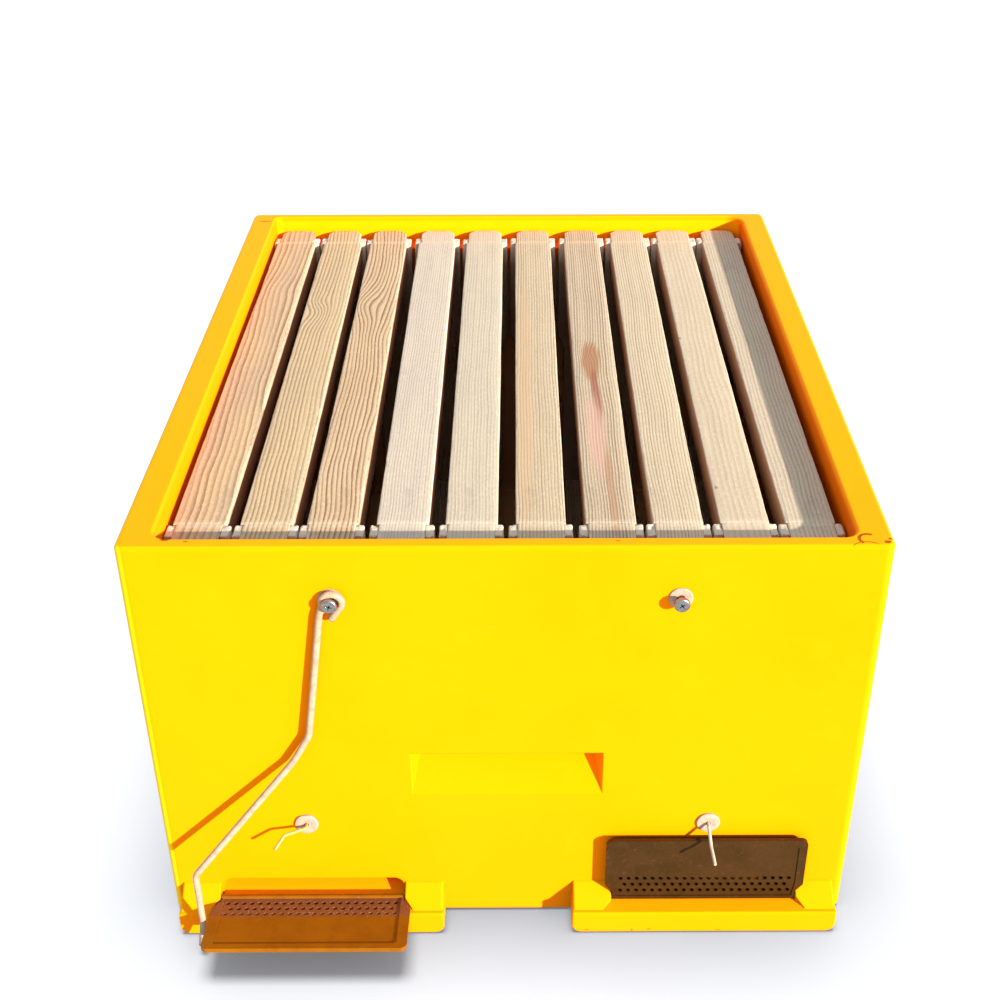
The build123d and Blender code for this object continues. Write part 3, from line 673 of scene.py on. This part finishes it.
# --------------------------------------------------------------------------- mesh helpers


def mesh_object(name, verts, faces, sharp, wear=None):
    """Smooth-shaded object with edges kept sharp above `sharp` degrees."""
    mesh = bpy.data.meshes.new(name)
    mesh.from_pydata([tuple(vert) for vert in verts], [], faces)
    mesh.validate()
    mesh.update()
    bm = bmesh.new()
    bm.from_mesh(mesh)
    bmesh.ops.recalc_face_normals(bm, faces=bm.faces)
    bm.to_mesh(mesh)
    bm.free()
    if wear is not None:
        mesh.attributes.new("wear", "FLOAT", "POINT").data.foreach_set("value", wear)
    obj = bpy.data.objects.new(name, mesh)
    bpy.context.scene.collection.objects.link(obj)
    mesh.polygons.foreach_set("use_smooth", [True] * len(mesh.polygons))
    mesh.set_sharp_from_angle(angle=math.radians(sharp))
    mesh.update()
    return obj


def wobble_at(x, y, z, seed):
    return noise.noise(Vector((x + seed * 17.3, y - seed * 9.1, z + seed * 4.7)))


def place(obj, ride_on, material, slot, replaced):
    obj.data.materials.clear()
    obj.data.materials.append(material)
    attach(obj, ride_on)
    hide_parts(replaced)


def paint(node, material):
    """Gives a CAD node a material; its mesh stays as it is."""
    materials = CAD_NODES[node].data.materials
    materials.clear()
    materials.append(material)


def box_mm(node):
    """The low and high corners of a CAD node's box, in millimetres."""
    return [[value / MM for value in corner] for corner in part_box(node)]


def quads(ring_count, sides):
    """Faces between consecutive rings of vertices."""
    faces = []
    for i in range(ring_count - 1):
        for k in range(sides):
            a, b = i * sides + k, i * sides + (k + 1) % sides
            faces.append((a, b, b + sides, a + sides))
    return faces


def end_fans(ring_count, sides):
    """Triangles closing both end rings onto two centre vertices that follow the rings."""
    start = ring_count * sides
    last = start - sides
    faces = []
    for k in range(sides):
        faces.append((start, (k + 1) % sides, k))
        faces.append((start + 1, last + k, last + (k + 1) % sides))
    return faces


def loft(rings):
    """A solid through rings of points, its two ends closed by flat faces."""
    sides = len(rings[0])
    last = (len(rings) - 1) * sides
    faces = quads(len(rings), sides)
    faces.append(tuple(range(sides)))
    faces.append(tuple(last + k for k in reversed(range(sides))))
    return [vert for ring in rings for vert in ring], faces


def merge(parts):
    verts, faces = [], []
    for part_verts, part_faces in parts:
        offset = len(verts)
        verts += list(part_verts)
        faces += [tuple(index + offset for index in face) for face in part_faces]
    return verts, faces


def path_frames(points):
    """Position, normal, binormal and tangent at each point, turned as little as possible."""
    last = len(points) - 1
    tangents = [(points[min(last, i + 1)] - points[max(0, i - 1)]).normalized()
                for i in range(len(points))]
    reference = Vector((0, 0, 1)) if abs(tangents[0].z) < 0.9 else Vector((1, 0, 0))
    normal = tangents[0].cross(reference).normalized()
    frames = []
    for i, tangent in enumerate(tangents):
        if i:
            previous = tangents[i - 1]
            axis = previous.cross(tangent)
            if axis.length > 1e-8:
                turn = Matrix.Rotation(previous.angle(tangent), 3, axis.normalized())
                normal = turn @ normal
        normal = (normal - tangent * normal.dot(tangent)).normalized()
        frames.append((points[i], normal.copy(), tangent.cross(normal).normalized(), tangent))
    return frames


def tube(points, radius, sides, dome_steps):
    """Swept round tube through points, domed at both ends."""
    frames = path_frames([Vector(point) for point in points])

    def ring(path_frame, inset=0.0, ring_radius=radius):
        point, normal, binormal, tangent = path_frame
        angles = (2 * math.pi * k / sides for k in range(sides))
        centre = point + tangent * inset
        return [centre + (normal * math.cos(a) + binormal * math.sin(a)) * ring_radius
                for a in angles]

    dome = []              # inset from the end, ring radius
    for k in range(dome_steps, 0, -1):
        angle = math.pi / 2 * k / (dome_steps + 1)
        dome.append((radius * (1 - math.sin(angle)), radius * math.cos(angle)))
    dome.append((radius, radius))

    rings = [ring(frames[0], inset, size) for inset, size in dome]
    rings += [ring(path_frame) for path_frame in frames[1:-1]]
    rings += [ring(frames[-1], -inset, size) for inset, size in reversed(dome)]
    verts = [vert * MM for one_ring in rings for vert in one_ring]
    verts += [frames[0][0] * MM, frames[-1][0] * MM]
    return verts, quads(len(rings), sides) + end_fans(len(rings), sides)


def rounded(points, radii, spacing=0.8):
    """Samples a path through points with its corners rounded to radii."""
    corners = [Vector(point) for point in points]
    path = [corners[0]]

    def line(a, b):
        count = max(1, int((b - a).length / spacing))
        for k in range(1, count + 1):
            path.append(a.lerp(b, k / count))

    start = corners[0]
    for before, corner, after, radius in zip(corners, corners[1:], corners[2:], radii):
        back, ahead = (before - corner).normalized(), (after - corner).normalized()
        half = back.angle(ahead) / 2
        cut = radius / math.tan(half)
        centre = corner + (back + ahead).normalized() * (radius / math.sin(half))
        arc_start, arc_end = corner + back * cut, corner + ahead * cut
        line(start, arc_start)
        spoke, end_spoke = arc_start - centre, arc_end - centre
        turn = spoke.angle(end_spoke)
        axis = spoke.cross(end_spoke).normalized()
        count = max(3, int(turn / math.radians(9)))
        for k in range(1, count + 1):
            path.append(centre + Matrix.Rotation(turn * k / count, 3, axis) @ spoke)
        start = arc_end
    line(start, corners[-1])

    spaced = [path[0]]
    for point in path[1:]:
        if (point - spaced[-1]).length > 0.05:
            spaced.append(point)
    return spaced


# --------------------------------------------------------------------------- top bars

# the rounded tip of a lug: distance from the end, narrowing, thinning, drop of the top
LUG_TIP = (
    (0.05, 9.4, 0.7, 0.35), (0.5, 7.8, 0.0, 0.0), (2.4, 4.4, 0.0, 0.0),
    (4.6, 0.8, 0.0, 0.0), (6.4, 0.1, 0.0, 0.0),
)
# the start of the grooved middle: distance from its end, narrowing, thinning, radius, drop
MIDDLE_TIP = ((0.05, 1.0, 0.4, 0.7, 0.25), (0.55, 0.3, 0.0, 0.6, 0.05))
LUG_SPACING = 2.1
MIDDLE_SPACING = 3.2
MIDDLE_MARGIN = 1.1
TOP_POINTS = 15          # points across a bar's upper face


def spaced_from(start, stop, spacing):
    values = []
    while start < stop:
        values.append(start)
        start += spacing
    return values


def bar_stations(y0, y1, inner_front, inner_back, width, thick):
    """Front to back: y, width, thickness, groove depth, lower corner radius, drop of the top."""
    def lug(y, narrowing=0.1, thinning=0.0, drop=0.0):
        return (y, LUG_WIDTH - narrowing, LUG_THICK - thinning, 0.0, 0.5, drop)

    def middle(y, narrowing=0.3, thinning=0.0, radius=0.6, drop=0.0):
        return (y, width - narrowing, thick - thinning, GROOVE_DEPTH, radius, drop)

    stations = [lug(y0 + inset, *shape) for inset, *shape in LUG_TIP]
    stations += [lug(y) for y in spaced_from(y0 + 8.5, inner_front - 0.8, LUG_SPACING)]
    stations.append(lug(inner_front - 0.02))
    stations += [middle(inner_front + inset, *shape) for inset, *shape in MIDDLE_TIP]
    length = inner_back - inner_front - 2 * MIDDLE_MARGIN
    count = int(length / MIDDLE_SPACING)
    stations += [middle(inner_front + MIDDLE_MARGIN + length * i / count)
                 for i in range(count + 1)]
    stations += [middle(inner_back - inset, *shape) for inset, *shape in reversed(MIDDLE_TIP)]
    stations.append(lug(inner_back + 0.02))
    stations += [lug(y) for y in spaced_from(inner_back + 1.4, y1 - 7.0, LUG_SPACING)]
    stations += [lug(y1 - inset, *shape) for inset, *shape in reversed(LUG_TIP)]
    return stations


def bar_side(side, half, arris, edge_z, thick, radius):
    """One side of a section from the top down, as (x, z, wear); side is 1 right, -1 left."""
    points = []
    for k in range(1, 4):
        angle = math.pi / 2 * (1 - k / 3)
        x = half - arris + arris * math.cos(angle)
        points.append((side * x, edge_z - arris * (1 - math.sin(angle)), 1.0))
    for k in range(1, 4):
        z = -arris - (thick - arris - radius) * k / 4 - 0.3
        points.append((side * (half - 0.12 * (k % 2)), z, 0.15 if k < 3 else 0.0))
    for k in range(3):
        angle = math.pi / 2 * k / 2
        x = half - radius + radius * math.cos(angle)
        points.append((side * x, -thick + radius - radius * math.sin(angle), 0.5))
    return points


def bar_section(y, width, thick, groove, radius, drop, seed):
    """Cross-section as (x, z, wear), from the bar's centre line and top."""
    def uneven_half(lane):
        slow = 0.22 * wobble_at(lane, y * 0.02, 1.0, seed)
        return width / 2 + slow + 0.09 * wobble_at(lane + 0.3, y * 0.16, 2.0, seed)

    def uneven_arris(lane):
        return radius + 0.55 * max(0.0, wobble_at(lane, y * 0.07, 3.0, seed) - 0.12) * 2.0

    left, right = uneven_half(0.0), uneven_half(5.0)
    left_arris, right_arris = uneven_arris(9.0), uneven_arris(14.0)
    x0, x1 = -left + left_arris, right - right_arris
    points = []
    for k in range(TOP_POINTS):
        part = k / (TOP_POINTS - 1)
        x = x0 + (x1 - x0) * part
        hollow = 0.10 * abs(wobble_at(x * 0.10, y * 0.03, 6.0, seed))
        from_edge = min(k, TOP_POINTS - 1 - k)
        wear = (0.65, 0.12)[from_edge] if from_edge < 2 else 0.0
        points.append((x, -0.18 * (2 * part - 1) ** 2 - hollow - drop, wear))
    left_z, right_z = points[0][1], points[-1][1]
    points += bar_side(1, right, right_arris, right_z, thick, radius)
    points += [
        (GROOVE_HALF + 4.0, -thick, 0.0), (GROOVE_HALF, -thick, 0.2),
        (GROOVE_HALF, -thick + groove, 0.0), (-GROOVE_HALF, -thick + groove, 0.0),
        (-GROOVE_HALF, -thick, 0.2), (-GROOVE_HALF - 4.0, -thick, 0.0),
    ]
    return points + bar_side(-1, left, left_arris, left_z, thick, radius)[::-1]


def top_bar(tag, centre_x, seed):
    (x0, y0, z0), (x1, y1, z1) = box_mm(tag + "_top_bar")
    (_, side_y0, _), (_, side_y1, _) = box_mm(tag + "_side_bars")
    inner_front, inner_back = side_y0 + SIDE_BAR_THICK, side_y1 - SIDE_BAR_THICK
    rings, wear = [], []
    for station in bar_stations(y0, y1, inner_front, inner_back, x1 - x0, z1 - z0):
        y = station[0]
        near_joint = abs(y - inner_front) < 3.5 or abs(y - inner_back) < 3.5
        least_wear = 0.75 if near_joint or y < y0 + 2 or y > y1 - 2 else 0.0
        section = bar_section(*station, seed)
        rings.append([((centre_x + x) * MM, y * MM, (TOP + min(z, -0.02)) * MM)
                      for x, z, _ in section])
        wear += [max(point_wear, least_wear) for _, _, point_wear in section]
    return mesh_object(tag + "_top_bar_wood", *loft(rings), 38, wear)


# --------------------------------------------------------------------------- side bars

SIDE_SLICES = (0.0, 0.5, 2.2, 4.0, 5.8, 7.5, 9.0, 10.5, SIDE_BAR_THICK)    # y from the front
EAR_TOP = TOP - 0.6
WAIST_TOP = TOP - 92     # where a side bar starts to widen
SHOULDER_FOOT = TOP - 80
NOTCH_HALF = LUG_WIDTH / 2 + JOINT_GAP
NOTCH_FLOOR = TOP - LUG_THICK - JOINT_GAP
FOOT_NOTCH_HALF = 10.05
FOOT_NOTCH_DEPTH = 10.05


def side_bar_ear(side, y, inset, lane, seed):
    """The chipped top of a shoulder, from its outer edge inwards."""
    edge = 0.8 + 1.1 * max(0.0, wobble_at(y * 0.21, lane, 2.0, seed))
    points = []
    for k in range(8):
        part = k / 7
        x = side * (17.6 - inset - part * 4.5)
        splinter = max(0.0, wobble_at(x * 0.22, y * 0.20, 9.0, seed) - 0.12)
        chip = 0.5 * abs(wobble_at(x * 0.55, y * 0.40, 4.0, seed)) + 1.5 * splinter
        round_off = edge * (1 - part * 5) ** 2 if part < 0.2 else 0.0
        points.append((x, EAR_TOP - inset - chip * 1.2 - round_off))
    return points


def side_bar_half(side, z0, y, inset, lane, seed):
    """Half an outline from the foot up to the top bar's notch; side is 1 right, -1 left."""
    waist = WAIST_HALF - inset
    half = [(FOOT_NOTCH_HALF, z0), (waist, z0 + inset), (waist, z0 + 8), (waist, WAIST_TOP)]
    half += [(WAIST_HALF + SHOULDER_STEP * part - inset,
              WAIST_TOP + (SHOULDER_FOOT - WAIST_TOP) * part) for part in (0.12, 0.5, 0.88)]
    half += [(WAIST_HALF + SHOULDER_STEP - inset, SHOULDER_FOOT + k * 13.0) for k in range(6)]
    points = [(side * x, z) for x, z in half]
    points += side_bar_ear(side, y, inset, lane, seed)
    return points + [(side * NOTCH_HALF, EAR_TOP - 1.0), (side * NOTCH_HALF, NOTCH_FLOOR)]


def side_bars(tag, centre_x, seed):
    """Both side bars of a frame, notched for the top bar and the bottom bar."""
    (_, y0, z0), (_, y1, _) = box_mm(tag + "_side_bars")
    foot_notch = [(x, z0 + FOOT_NOTCH_DEPTH) for x in (-FOOT_NOTCH_HALF, 0.0, FOOT_NOTCH_HALF)]
    parts, wear = [], []
    for end, front in enumerate((y0, y1 - SIDE_BAR_THICK)):
        end_seed = seed + end * 3.3 + 0.7
        rings = []
        for j, offset in enumerate(SIDE_SLICES):
            y = front + offset
            outermost = j in (0, len(SIDE_SLICES) - 1)
            inset = 0.35 if outermost else 0.0
            outline = side_bar_half(1, z0, y, inset, 1.0, end_seed)
            outline += [(4.0, NOTCH_FLOOR), (-4.0, NOTCH_FLOOR)]
            outline += side_bar_half(-1, z0, y, inset, 7.0, end_seed)[::-1]
            outline += foot_notch
            rings.append([((centre_x + x) * MM, y * MM, z * MM) for x, z in outline])
            face_wear = 0.5 if outermost else 0.0
            wear += [1.0 if z > TOP - 4 else face_wear for _, z in outline]
        parts.append(loft(rings))
    return mesh_object(tag + "_side_bars_wood", *merge(parts), 38, wear)


# --------------------------------------------------------------------------- frames

# one timber per top bar, counted from frame_01; the keywords are those of pine()
TOP_BAR_TIMBERS = (
    dict(light=(0.80, 0.565, 0.300), dark=(0.40, 0.19, 0.08), second=(0.68, 0.485, 0.30),
         ring=3.6, pith=(-30.0, -14.0), tilt=(-0.012, 0.006), sway=(1.4, 420.0, 0.6),
         warp=1.5, contrast=0.95, tone=0.8, late=0.68,
         knots=((-2.0, 120.0, 10.0, 3.0, 0.0),)),
    dict(light=(0.82, 0.61, 0.34), dark=(0.42, 0.23, 0.08), second=(0.74, 0.56, 0.33),
         ring=2.6, pith=(60.0, -22.0), tilt=(-0.004, 0.0), sway=(0.8, 330.0, 1.2),
         warp=1.5, contrast=0.80, tone=0.8,
         knots=((-5.5, 78.0, 8.5, 6.0, 0.0), (-4.0, 96.0, 5.0, -3.0, 0.0))),
    dict(light=(0.84, 0.60, 0.35), dark=(0.34, 0.16, 0.06), second=(0.76, 0.51, 0.28),
         ring=2.7, pith=(70.0, -16.0), tilt=(0.006, 0.0), sway=(1.3, 190.0, -0.5),
         warp=1.9, contrast=1.0, tone=0.7, late=0.70,
         knots=((-9.0, 92.0, 11.0, -6.5, 0.0), (8.0, 30.0, 14.0, -3.0, 0.0))),
    dict(light=(0.83, 0.70, 0.54), dark=(0.55, 0.40, 0.27), second=(0.74, 0.64, 0.51),
         ring=1.7, pith=(95.0, -20.0), tilt=(0.004, 0.0), warp=1.0, contrast=0.55, tone=0.8),
    dict(light=(0.82, 0.69, 0.50), dark=(0.56, 0.42, 0.27), second=(0.74, 0.63, 0.47),
         ring=1.9, pith=(-110.0, -30.0), tilt=(-0.004, 0.0), warp=0.9, contrast=0.60, tone=0.8),
    dict(light=(0.79, 0.63, 0.41), dark=(0.46, 0.29, 0.15),
         ring=1.9, pith=(140.0, -20.0), warp=0.8, contrast=0.85, tone=0.6,
         stains=((-8.0, -40.0, 7.0, 190.0, (0.70, 0.44, 0.24), 0.60),)),
    dict(light=(0.80, 0.63, 0.42), dark=(0.40, 0.23, 0.11),
         ring=1.75, pith=(-120.0, -30.0), tilt=(0.006, 0.0), warp=1.0, contrast=0.95,
         knots=((-3.0, 12.0, 5.0, 3.0, 0.0),),
         stains=((-1.5, -2.0, 7.5, 34.0, (0.46, 0.20, 0.08), 0.85),
                 (0.0, -52.0, 3.0, 46.0, (0.38, 0.12, 0.06), 0.80),
                 (-3.0, -105.0, 7.0, 60.0, (0.80, 0.44, 0.32), 0.60),
                 (2.5, -170.0, 3.0, 60.0, (0.50, 0.24, 0.12), 0.60))),
    dict(light=(0.84, 0.69, 0.46), dark=(0.46, 0.28, 0.14),
         ring=1.85, pith=(150.0, -15.0), tilt=(0.006, 0.0), sway=(0.5, 150.0, 0.4),
         warp=0.9, contrast=0.80, tone=0.6),
    dict(light=(0.80, 0.65, 0.44), dark=(0.58, 0.40, 0.24), second=(0.73, 0.57, 0.38),
         ring=2.4, pith=(-60.0, -60.0), tilt=(0.0, 0.004), warp=1.2, contrast=0.40,
         knots=((-12.6, 33.0, 1.8, 0.8, 0.8), (-11.4, -168.0, 2.2, 1.0, 0.8))),
    dict(light=(0.82, 0.67, 0.47), dark=(0.42, 0.26, 0.14),
         ring=2.2, pith=(-60.0, -22.0), tilt=(0.004, 0.0), warp=1.0, contrast=0.55),
)


def build_frames():
    side_wood = pine("side_bar_pine", light=(0.90, 0.76, 0.59), dark=(0.58, 0.40, 0.25),
                     ring=2.1, pith=(30.0, 300.0), warp=1.5, contrast=0.55, upright=True)
    foot_wood = pine("bottom_bar_pine", light=(0.78, 0.58, 0.36), dark=(0.45, 0.27, 0.13),
                     ring=2.4, pith=(500.0, -60.0), warp=1.5, contrast=0.6, top_z=30.0)
    wire = bare_metal("bright_frame_wire", bright=(0.74, 0.73, 0.70), dull=(0.60, 0.58, 0.54),
                      smoothest=0.22, roughest=0.38, rust=0.10)
    staple = bare_metal("dull_staple_steel", bright=(0.22, 0.20, 0.19),
                        dull=(0.14, 0.12, 0.11), smoothest=0.35, roughest=0.55, rust=0.35)
    for number in range(1, FRAME_COUNT + 1):
        tag = f"frame_{number:02d}"
        low, high = box_mm(tag + "_side_bars")
        centre_x = (low[0] + high[0]) / 2
        timber = TOP_BAR_TIMBERS[number - 1]
        wood = pine(f"top_bar_pine_{number:02d}", centre_x=centre_x, **timber)
        bar = top_bar(tag, centre_x, seed=number * 1.37)
        place(bar, tag, wood, "frame_wood", tag + "_top_bar")
        sides = side_bars(tag, centre_x, seed=number * 2.11)
        place(sides, tag, side_wood, "side_wood", tag + "_side_bars")
        paint(tag + "_bottom_bar", foot_wood)
        paint(tag + "_wires", wire)
        paint(tag + "_staples", staple)


build_frames()

# --------------------------------------------------------------------------- body and flaps

paint("hive_body", body_skin())
paint("left_flap", flap_plastic(
    "amber_brown_flap", tone_a=(0.205, 0.064, 0.0003), tone_b=(0.165, 0.050, 0.0002),
    scratch=(0.215, 0.084, 0.014), scratch_amount=0.30, dust=(0.30, 0.16, 0.08),
    strip=(0.140, 0.044, 0.022)))
paint("right_flap", flap_plastic(
    "dark_brown_flap", tone_a=(0.034, 0.0135, 0.0030), tone_b=(0.024, 0.0100, 0.0016),
    scratch=(0.095, 0.045, 0.024), scratch_amount=0.65, dust=(0.22, 0.14, 0.09)))
pale = pale_plastic()
paint("flap_hinge_pins", pale)

# --------------------------------------------------------------------------- turned fittings
# Profiles are (radius, distance out from the front wall).


def lathe(profile, segments, x, z, wobble=0.0, seed=0.0):
    """Turns a profile about the -Y axis through x, z; wobble roughens all but the core."""
    verts = []
    for radius, out in profile:
        for k in range(segments):
            angle = 2 * math.pi * k / segments
            across, up = math.cos(angle), math.sin(angle)
            swell = 1.0
            if wobble and radius > 2.6:
                swell += wobble * wobble_at(across * 1.7, up * 1.7, out * 0.3, seed)
            verts.append(((x + radius * swell * across) * MM, (FRONT - out) * MM,
                          (z + radius * swell * up) * MM))
    return verts, quads(len(profile), segments)


def turned_solid(profile, segments, x, z):
    """A turned solid whose profile starts and ends on its axis."""
    verts, faces = lathe(profile[1:-1], segments, x, z)
    verts += [(x * MM, (FRONT - out) * MM, z * MM) for _, out in (profile[0], profile[-1])]
    return verts, faces + end_fans(len(profile) - 2, segments)


def turned_ring(profile, segments, x, z, wobble, seed):
    """A turned ring: the profile is a closed loop."""
    verts, faces = lathe(profile, segments, x, z, wobble, seed)
    last = (len(profile) - 1) * segments
    for k in range(segments):
        after = (k + 1) % segments
        faces.append((last + k, last + after, after, k))
    return verts, faces


def corner(radius, out, rounding, steps):
    """A rounded outer corner about (radius, out), from nearly straight out to sideways."""
    angles = [math.radians(80 - 80 * k / steps) for k in range(steps + 1)]
    return [(radius + rounding * math.cos(a), out + rounding * math.sin(a)) for a in angles]


SCREW_PROFILE = [
    (0.0, 6.3), (0.55, 6.35), (1.1, 7.9), (1.6, 8.15), (2.4, 8.17), (3.0, 8.1),
    *corner(3.2, 6.95, 1.17, 5),
    (4.37, 6.0), (4.2, 5.66), (3.4, 5.62), (2.05, 5.62),
    (1.98, 5.3), (1.98, -14.6), (1.0, -15.8), (0.0, -16.0),
]
WASHER_PROFILE = [
    (2.2, 0.05), (2.2, 0.95), (2.5, 1.07), (5.6, 1.07),
    *corner(6.1, 0.55, 0.52, 4),
    (6.6, 0.05),
]
BUSH_PROFILE = [
    (1.06, -12.4), (1.06, 0.9), (1.5, 1.35), (2.3, 1.22), (3.2, 1.50), (5.6, 1.56),
    *corner(6.4, 0.9, 0.62, 4),
    (7.0, 0.05), (2.36, 0.03), (2.36, -13.0), (2.1, -13.4), (1.4, -13.42), (1.06, -13.0),
]


def screw(x, turn):
    """Raised head with a cross recess turned by `turn` radians, its shank in the wall."""
    verts, faces = turned_solid(SCREW_PROFILE, 48, x, SCREW_Z)
    shaped = []
    for vert_x, vert_y, vert_z in verts:
        across, up = vert_x / MM - x, vert_z / MM - SCREW_Z
        out = FRONT - vert_y / MM
        # the recess becomes a cross by pulling its wall in between the arms
        if 0.3 < math.hypot(across, up) < 1.3 and out > 6.2:
            angle = math.atan2(up, across) + turn
            stretch = 0.55 + 1.25 * abs(math.cos(2 * angle)) ** 6
            vert_x, vert_z = (x + across * stretch) * MM, (SCREW_Z + up * stretch) * MM
        shaped.append((vert_x, vert_y, vert_z))
    return shaped, faces


def ring_pair(profile, x, z, wobble, seeds):
    """The same ring left and right of the middle."""
    return merge([turned_ring(profile, 64, side * x, z, wobble, seed)
                  for side, seed in zip((-1, 1), seeds)])


steel = bare_metal("plated_screw_steel", bright=(0.34, 0.33, 0.31), dull=(0.22, 0.21, 0.20),
                   smoothest=0.22, roughest=0.42, rust=0.20)
screws = merge([screw(-SCREW_X, turn=0.35), screw(SCREW_X, turn=0.9)])
washers = ring_pair(WASHER_PROFILE, SCREW_X, SCREW_Z, wobble=0.03, seeds=(1.0, 2.0))
bushes = ring_pair(BUSH_PROFILE, LATCH_X, LATCH_Z, wobble=0.045, seeds=(3.0, 4.0))
place(mesh_object("wall_screws_turned", *screws, sharp=32),
      "hive", steel, "plated_steel", "wall_screws")
place(mesh_object("screw_washers_turned", *washers, sharp=40),
      "hive", pale, "pale_plastic", "screw_washers")
place(mesh_object("latch_bushes_turned", *bushes, sharp=40),
      "hive", pale, "pale_plastic", "latch_bushes")

# --------------------------------------------------------------------------- bent wires
# Wire corners are x, distance out from the front wall, z.

STAY_EYE_X, STAY_EYE_Z = -SCREW_X + 1.1, SCREW_Z - 0.2    # the loop round the left screw
STAY_EYE_RADIUS = 5.4
STAY_EYE_OUT = 3.3
STAY_EYE_START, STAY_EYE_SWEEP = -48, 245                 # degrees
STAY_TAIL = (-94.6, FRONT - STAY_EYE_OUT, 225.4)
STAY_LEG = [
    (-100.2, 3.4, 229.0), (-112.0, 4.4, 145.5), (-122.6, 5.8, 127.0),
    (-182.4, 27.7, 59.3), (-182.9, 26.2, 19.5), (-183.5, 33.5, 6.0),
]
STAY_BENDS = [12.0, 14.0, 16.0, 7.0, 6.0]
LEFT_LATCH = [
    (-LATCH_X, -12.0, LATCH_Z), (-LATCH_X, 4.2, LATCH_Z), (-131.6, 10.0, 73.8),
    (-137.0, 17.0, 68.6),
]
RIGHT_LATCH = [
    (LATCH_X, -12.0, LATCH_Z), (LATCH_X, 4.2, LATCH_Z), (120.3, 14.2, 67.4),
    (121.6, 25.6, 63.6),
]
LATCH_BENDS = [1.6, 3.0]


def front_path(corners, bends):
    return rounded([(x, FRONT - out, z) for x, out, z in corners], bends)


def eye_point(degrees):
    angle = math.radians(degrees)
    return Vector((STAY_EYE_X + STAY_EYE_RADIUS * math.cos(angle), FRONT - STAY_EYE_OUT,
                   STAY_EYE_Z + STAY_EYE_RADIUS * math.sin(angle)))


def stay_path():
    """A short tail, the eye round the screw, then the long leg down to the left."""
    tail, eye_start = Vector(STAY_TAIL), eye_point(STAY_EYE_START)
    points = [tail] + [tail.lerp(eye_start, k / 10) for k in range(1, 10)]
    points += [eye_point(STAY_EYE_START + STAY_EYE_SWEEP * k / 40) for k in range(41)]
    eye_end = points[-1]
    leg = [(eye_end.x, FRONT - eye_end.y, eye_end.z)] + STAY_LEG
    return points + front_path(leg, STAY_BENDS)[1:]


def latch_wire(name, corners):
    path = front_path(corners, LATCH_BENDS)
    return mesh_object(name, *tube(path, LATCH_RADIUS, sides=18, dome_steps=3), sharp=60)


stay_coat = coated_wire("cream_coated_wire", tone_a=(0.37, 0.255, 0.165),
                        tone_b=(0.29, 0.18, 0.10), shaded_foot=True)
left_coat = coated_wire("yellowed_latch_wire", tone_a=(0.52, 0.27, 0.050),
                        tone_b=(0.38, 0.18, 0.03))
right_coat = coated_wire("pale_latch_wire", tone_a=(0.44, 0.33, 0.25),
                         tone_b=(0.34, 0.23, 0.16))
stay = tube(stay_path(), STAY_RADIUS, sides=24, dome_steps=4)
place(mesh_object("stay_wire_bent", *stay, sharp=60),
      "stay", stay_coat, "coated_wire", "stay_wire")
place(latch_wire("left_latch_wire_bent", LEFT_LATCH),
      "latch_l", left_coat, "galvanised_wire", "left_latch_wire")
place(latch_wire("right_latch_wire_bent", RIGHT_LATCH),
      "latch_r", right_coat, "galvanised_wire", "right_latch_wire")

# --------------------------------------------------------------------------- stage
# Metres from here on.

FLOOR_HALF = 6.0
FLOOR_Z = -0.0004


def build_floor():
    mesh = bpy.data.meshes.new("studio_floor")
    bm = bmesh.new()
    corners = ((-1, -1), (1, -1), (1, 1), (-1, 1))
    bm.faces.new([bm.verts.new((x * FLOOR_HALF, y * FLOOR_HALF, FLOOR_Z)) for x, y in corners])
    bm.to_mesh(mesh)
    bm.free()
    obj = bpy.data.objects.new("studio_floor", mesh)
    bpy.context.scene.collection.objects.link(obj)
    obj.data.materials.append(floor_paint())
    return obj


def light_group(name, objects):
    """A collection that a light can be limited to."""
    group = bpy.data.collections.new(name)
    bpy.context.scene.collection.children.link(group)
    for obj in objects:
        group.objects.link(obj)
    return group


def sun(name, energy, spread, location, towards, receivers, colour=None):
    """A sun in the direction `towards`, spread in degrees, lighting only its receivers."""
    data = bpy.data.lights.new(name, "SUN")
    data.energy = energy
    data.angle = math.radians(spread)
    if colour:
        data.color = colour
    lamp = bpy.data.objects.new(name, data)
    bpy.context.scene.collection.objects.link(lamp)
    lamp.location = location
    lamp.rotation_euler = Vector(towards).to_track_quat("Z", "Y").to_euler()
    lamp.light_linking.receiver_collection = receivers


def build_world():
    world = bpy.data.worlds.new("studio")
    bpy.context.scene.world = world
    world.use_nodes = True
    background = world.node_tree.nodes["Background"]
    background.inputs["Color"].default_value = (0.92, 1.03, 1.18, 1.0)
    background.inputs["Strength"].default_value = 0.92


def build_camera():
    """In front of the hive and above it, looking down into the frames."""
    data = bpy.data.cameras.new("camera")
    data.sensor_width = 36.0
    data.lens = 51.963
    data.shift_x = -0.02438
    data.shift_y = 0.020
    data.clip_start = 0.01
    camera = bpy.data.objects.new("camera", data)
    bpy.context.scene.collection.objects.link(camera)
    camera.location = (0.006454, -0.878559, 0.685073)
    camera.rotation_euler = (math.pi / 2 - 0.562511, 0.0, -0.005658)
    bpy.context.scene.camera = camera


floor = build_floor()
subject = light_group("subject", [o for o in bpy.context.scene.objects
                                  if o.type in ("MESH", "CURVE") and o is not floor])
ground = light_group("ground", [floor])
build_world()
sun("key", energy=12.6, spread=1.0, location=(1.5, -1.5, 0.8), towards=(1.0, -1.0, 0.44),
    receivers=subject, colour=(1.0, 0.965, 0.90))
sun("overhead", energy=7.2, spread=30.0, location=(0.1, -0.4, 2.4), towards=(-0.01, 0.07, 1.0),
    receivers=ground)
build_camera()

view = bpy.context.scene.view_settings
view.view_transform = "Standard"
view.look = "None"
view.exposure = 0.0
view.gamma = 1.0
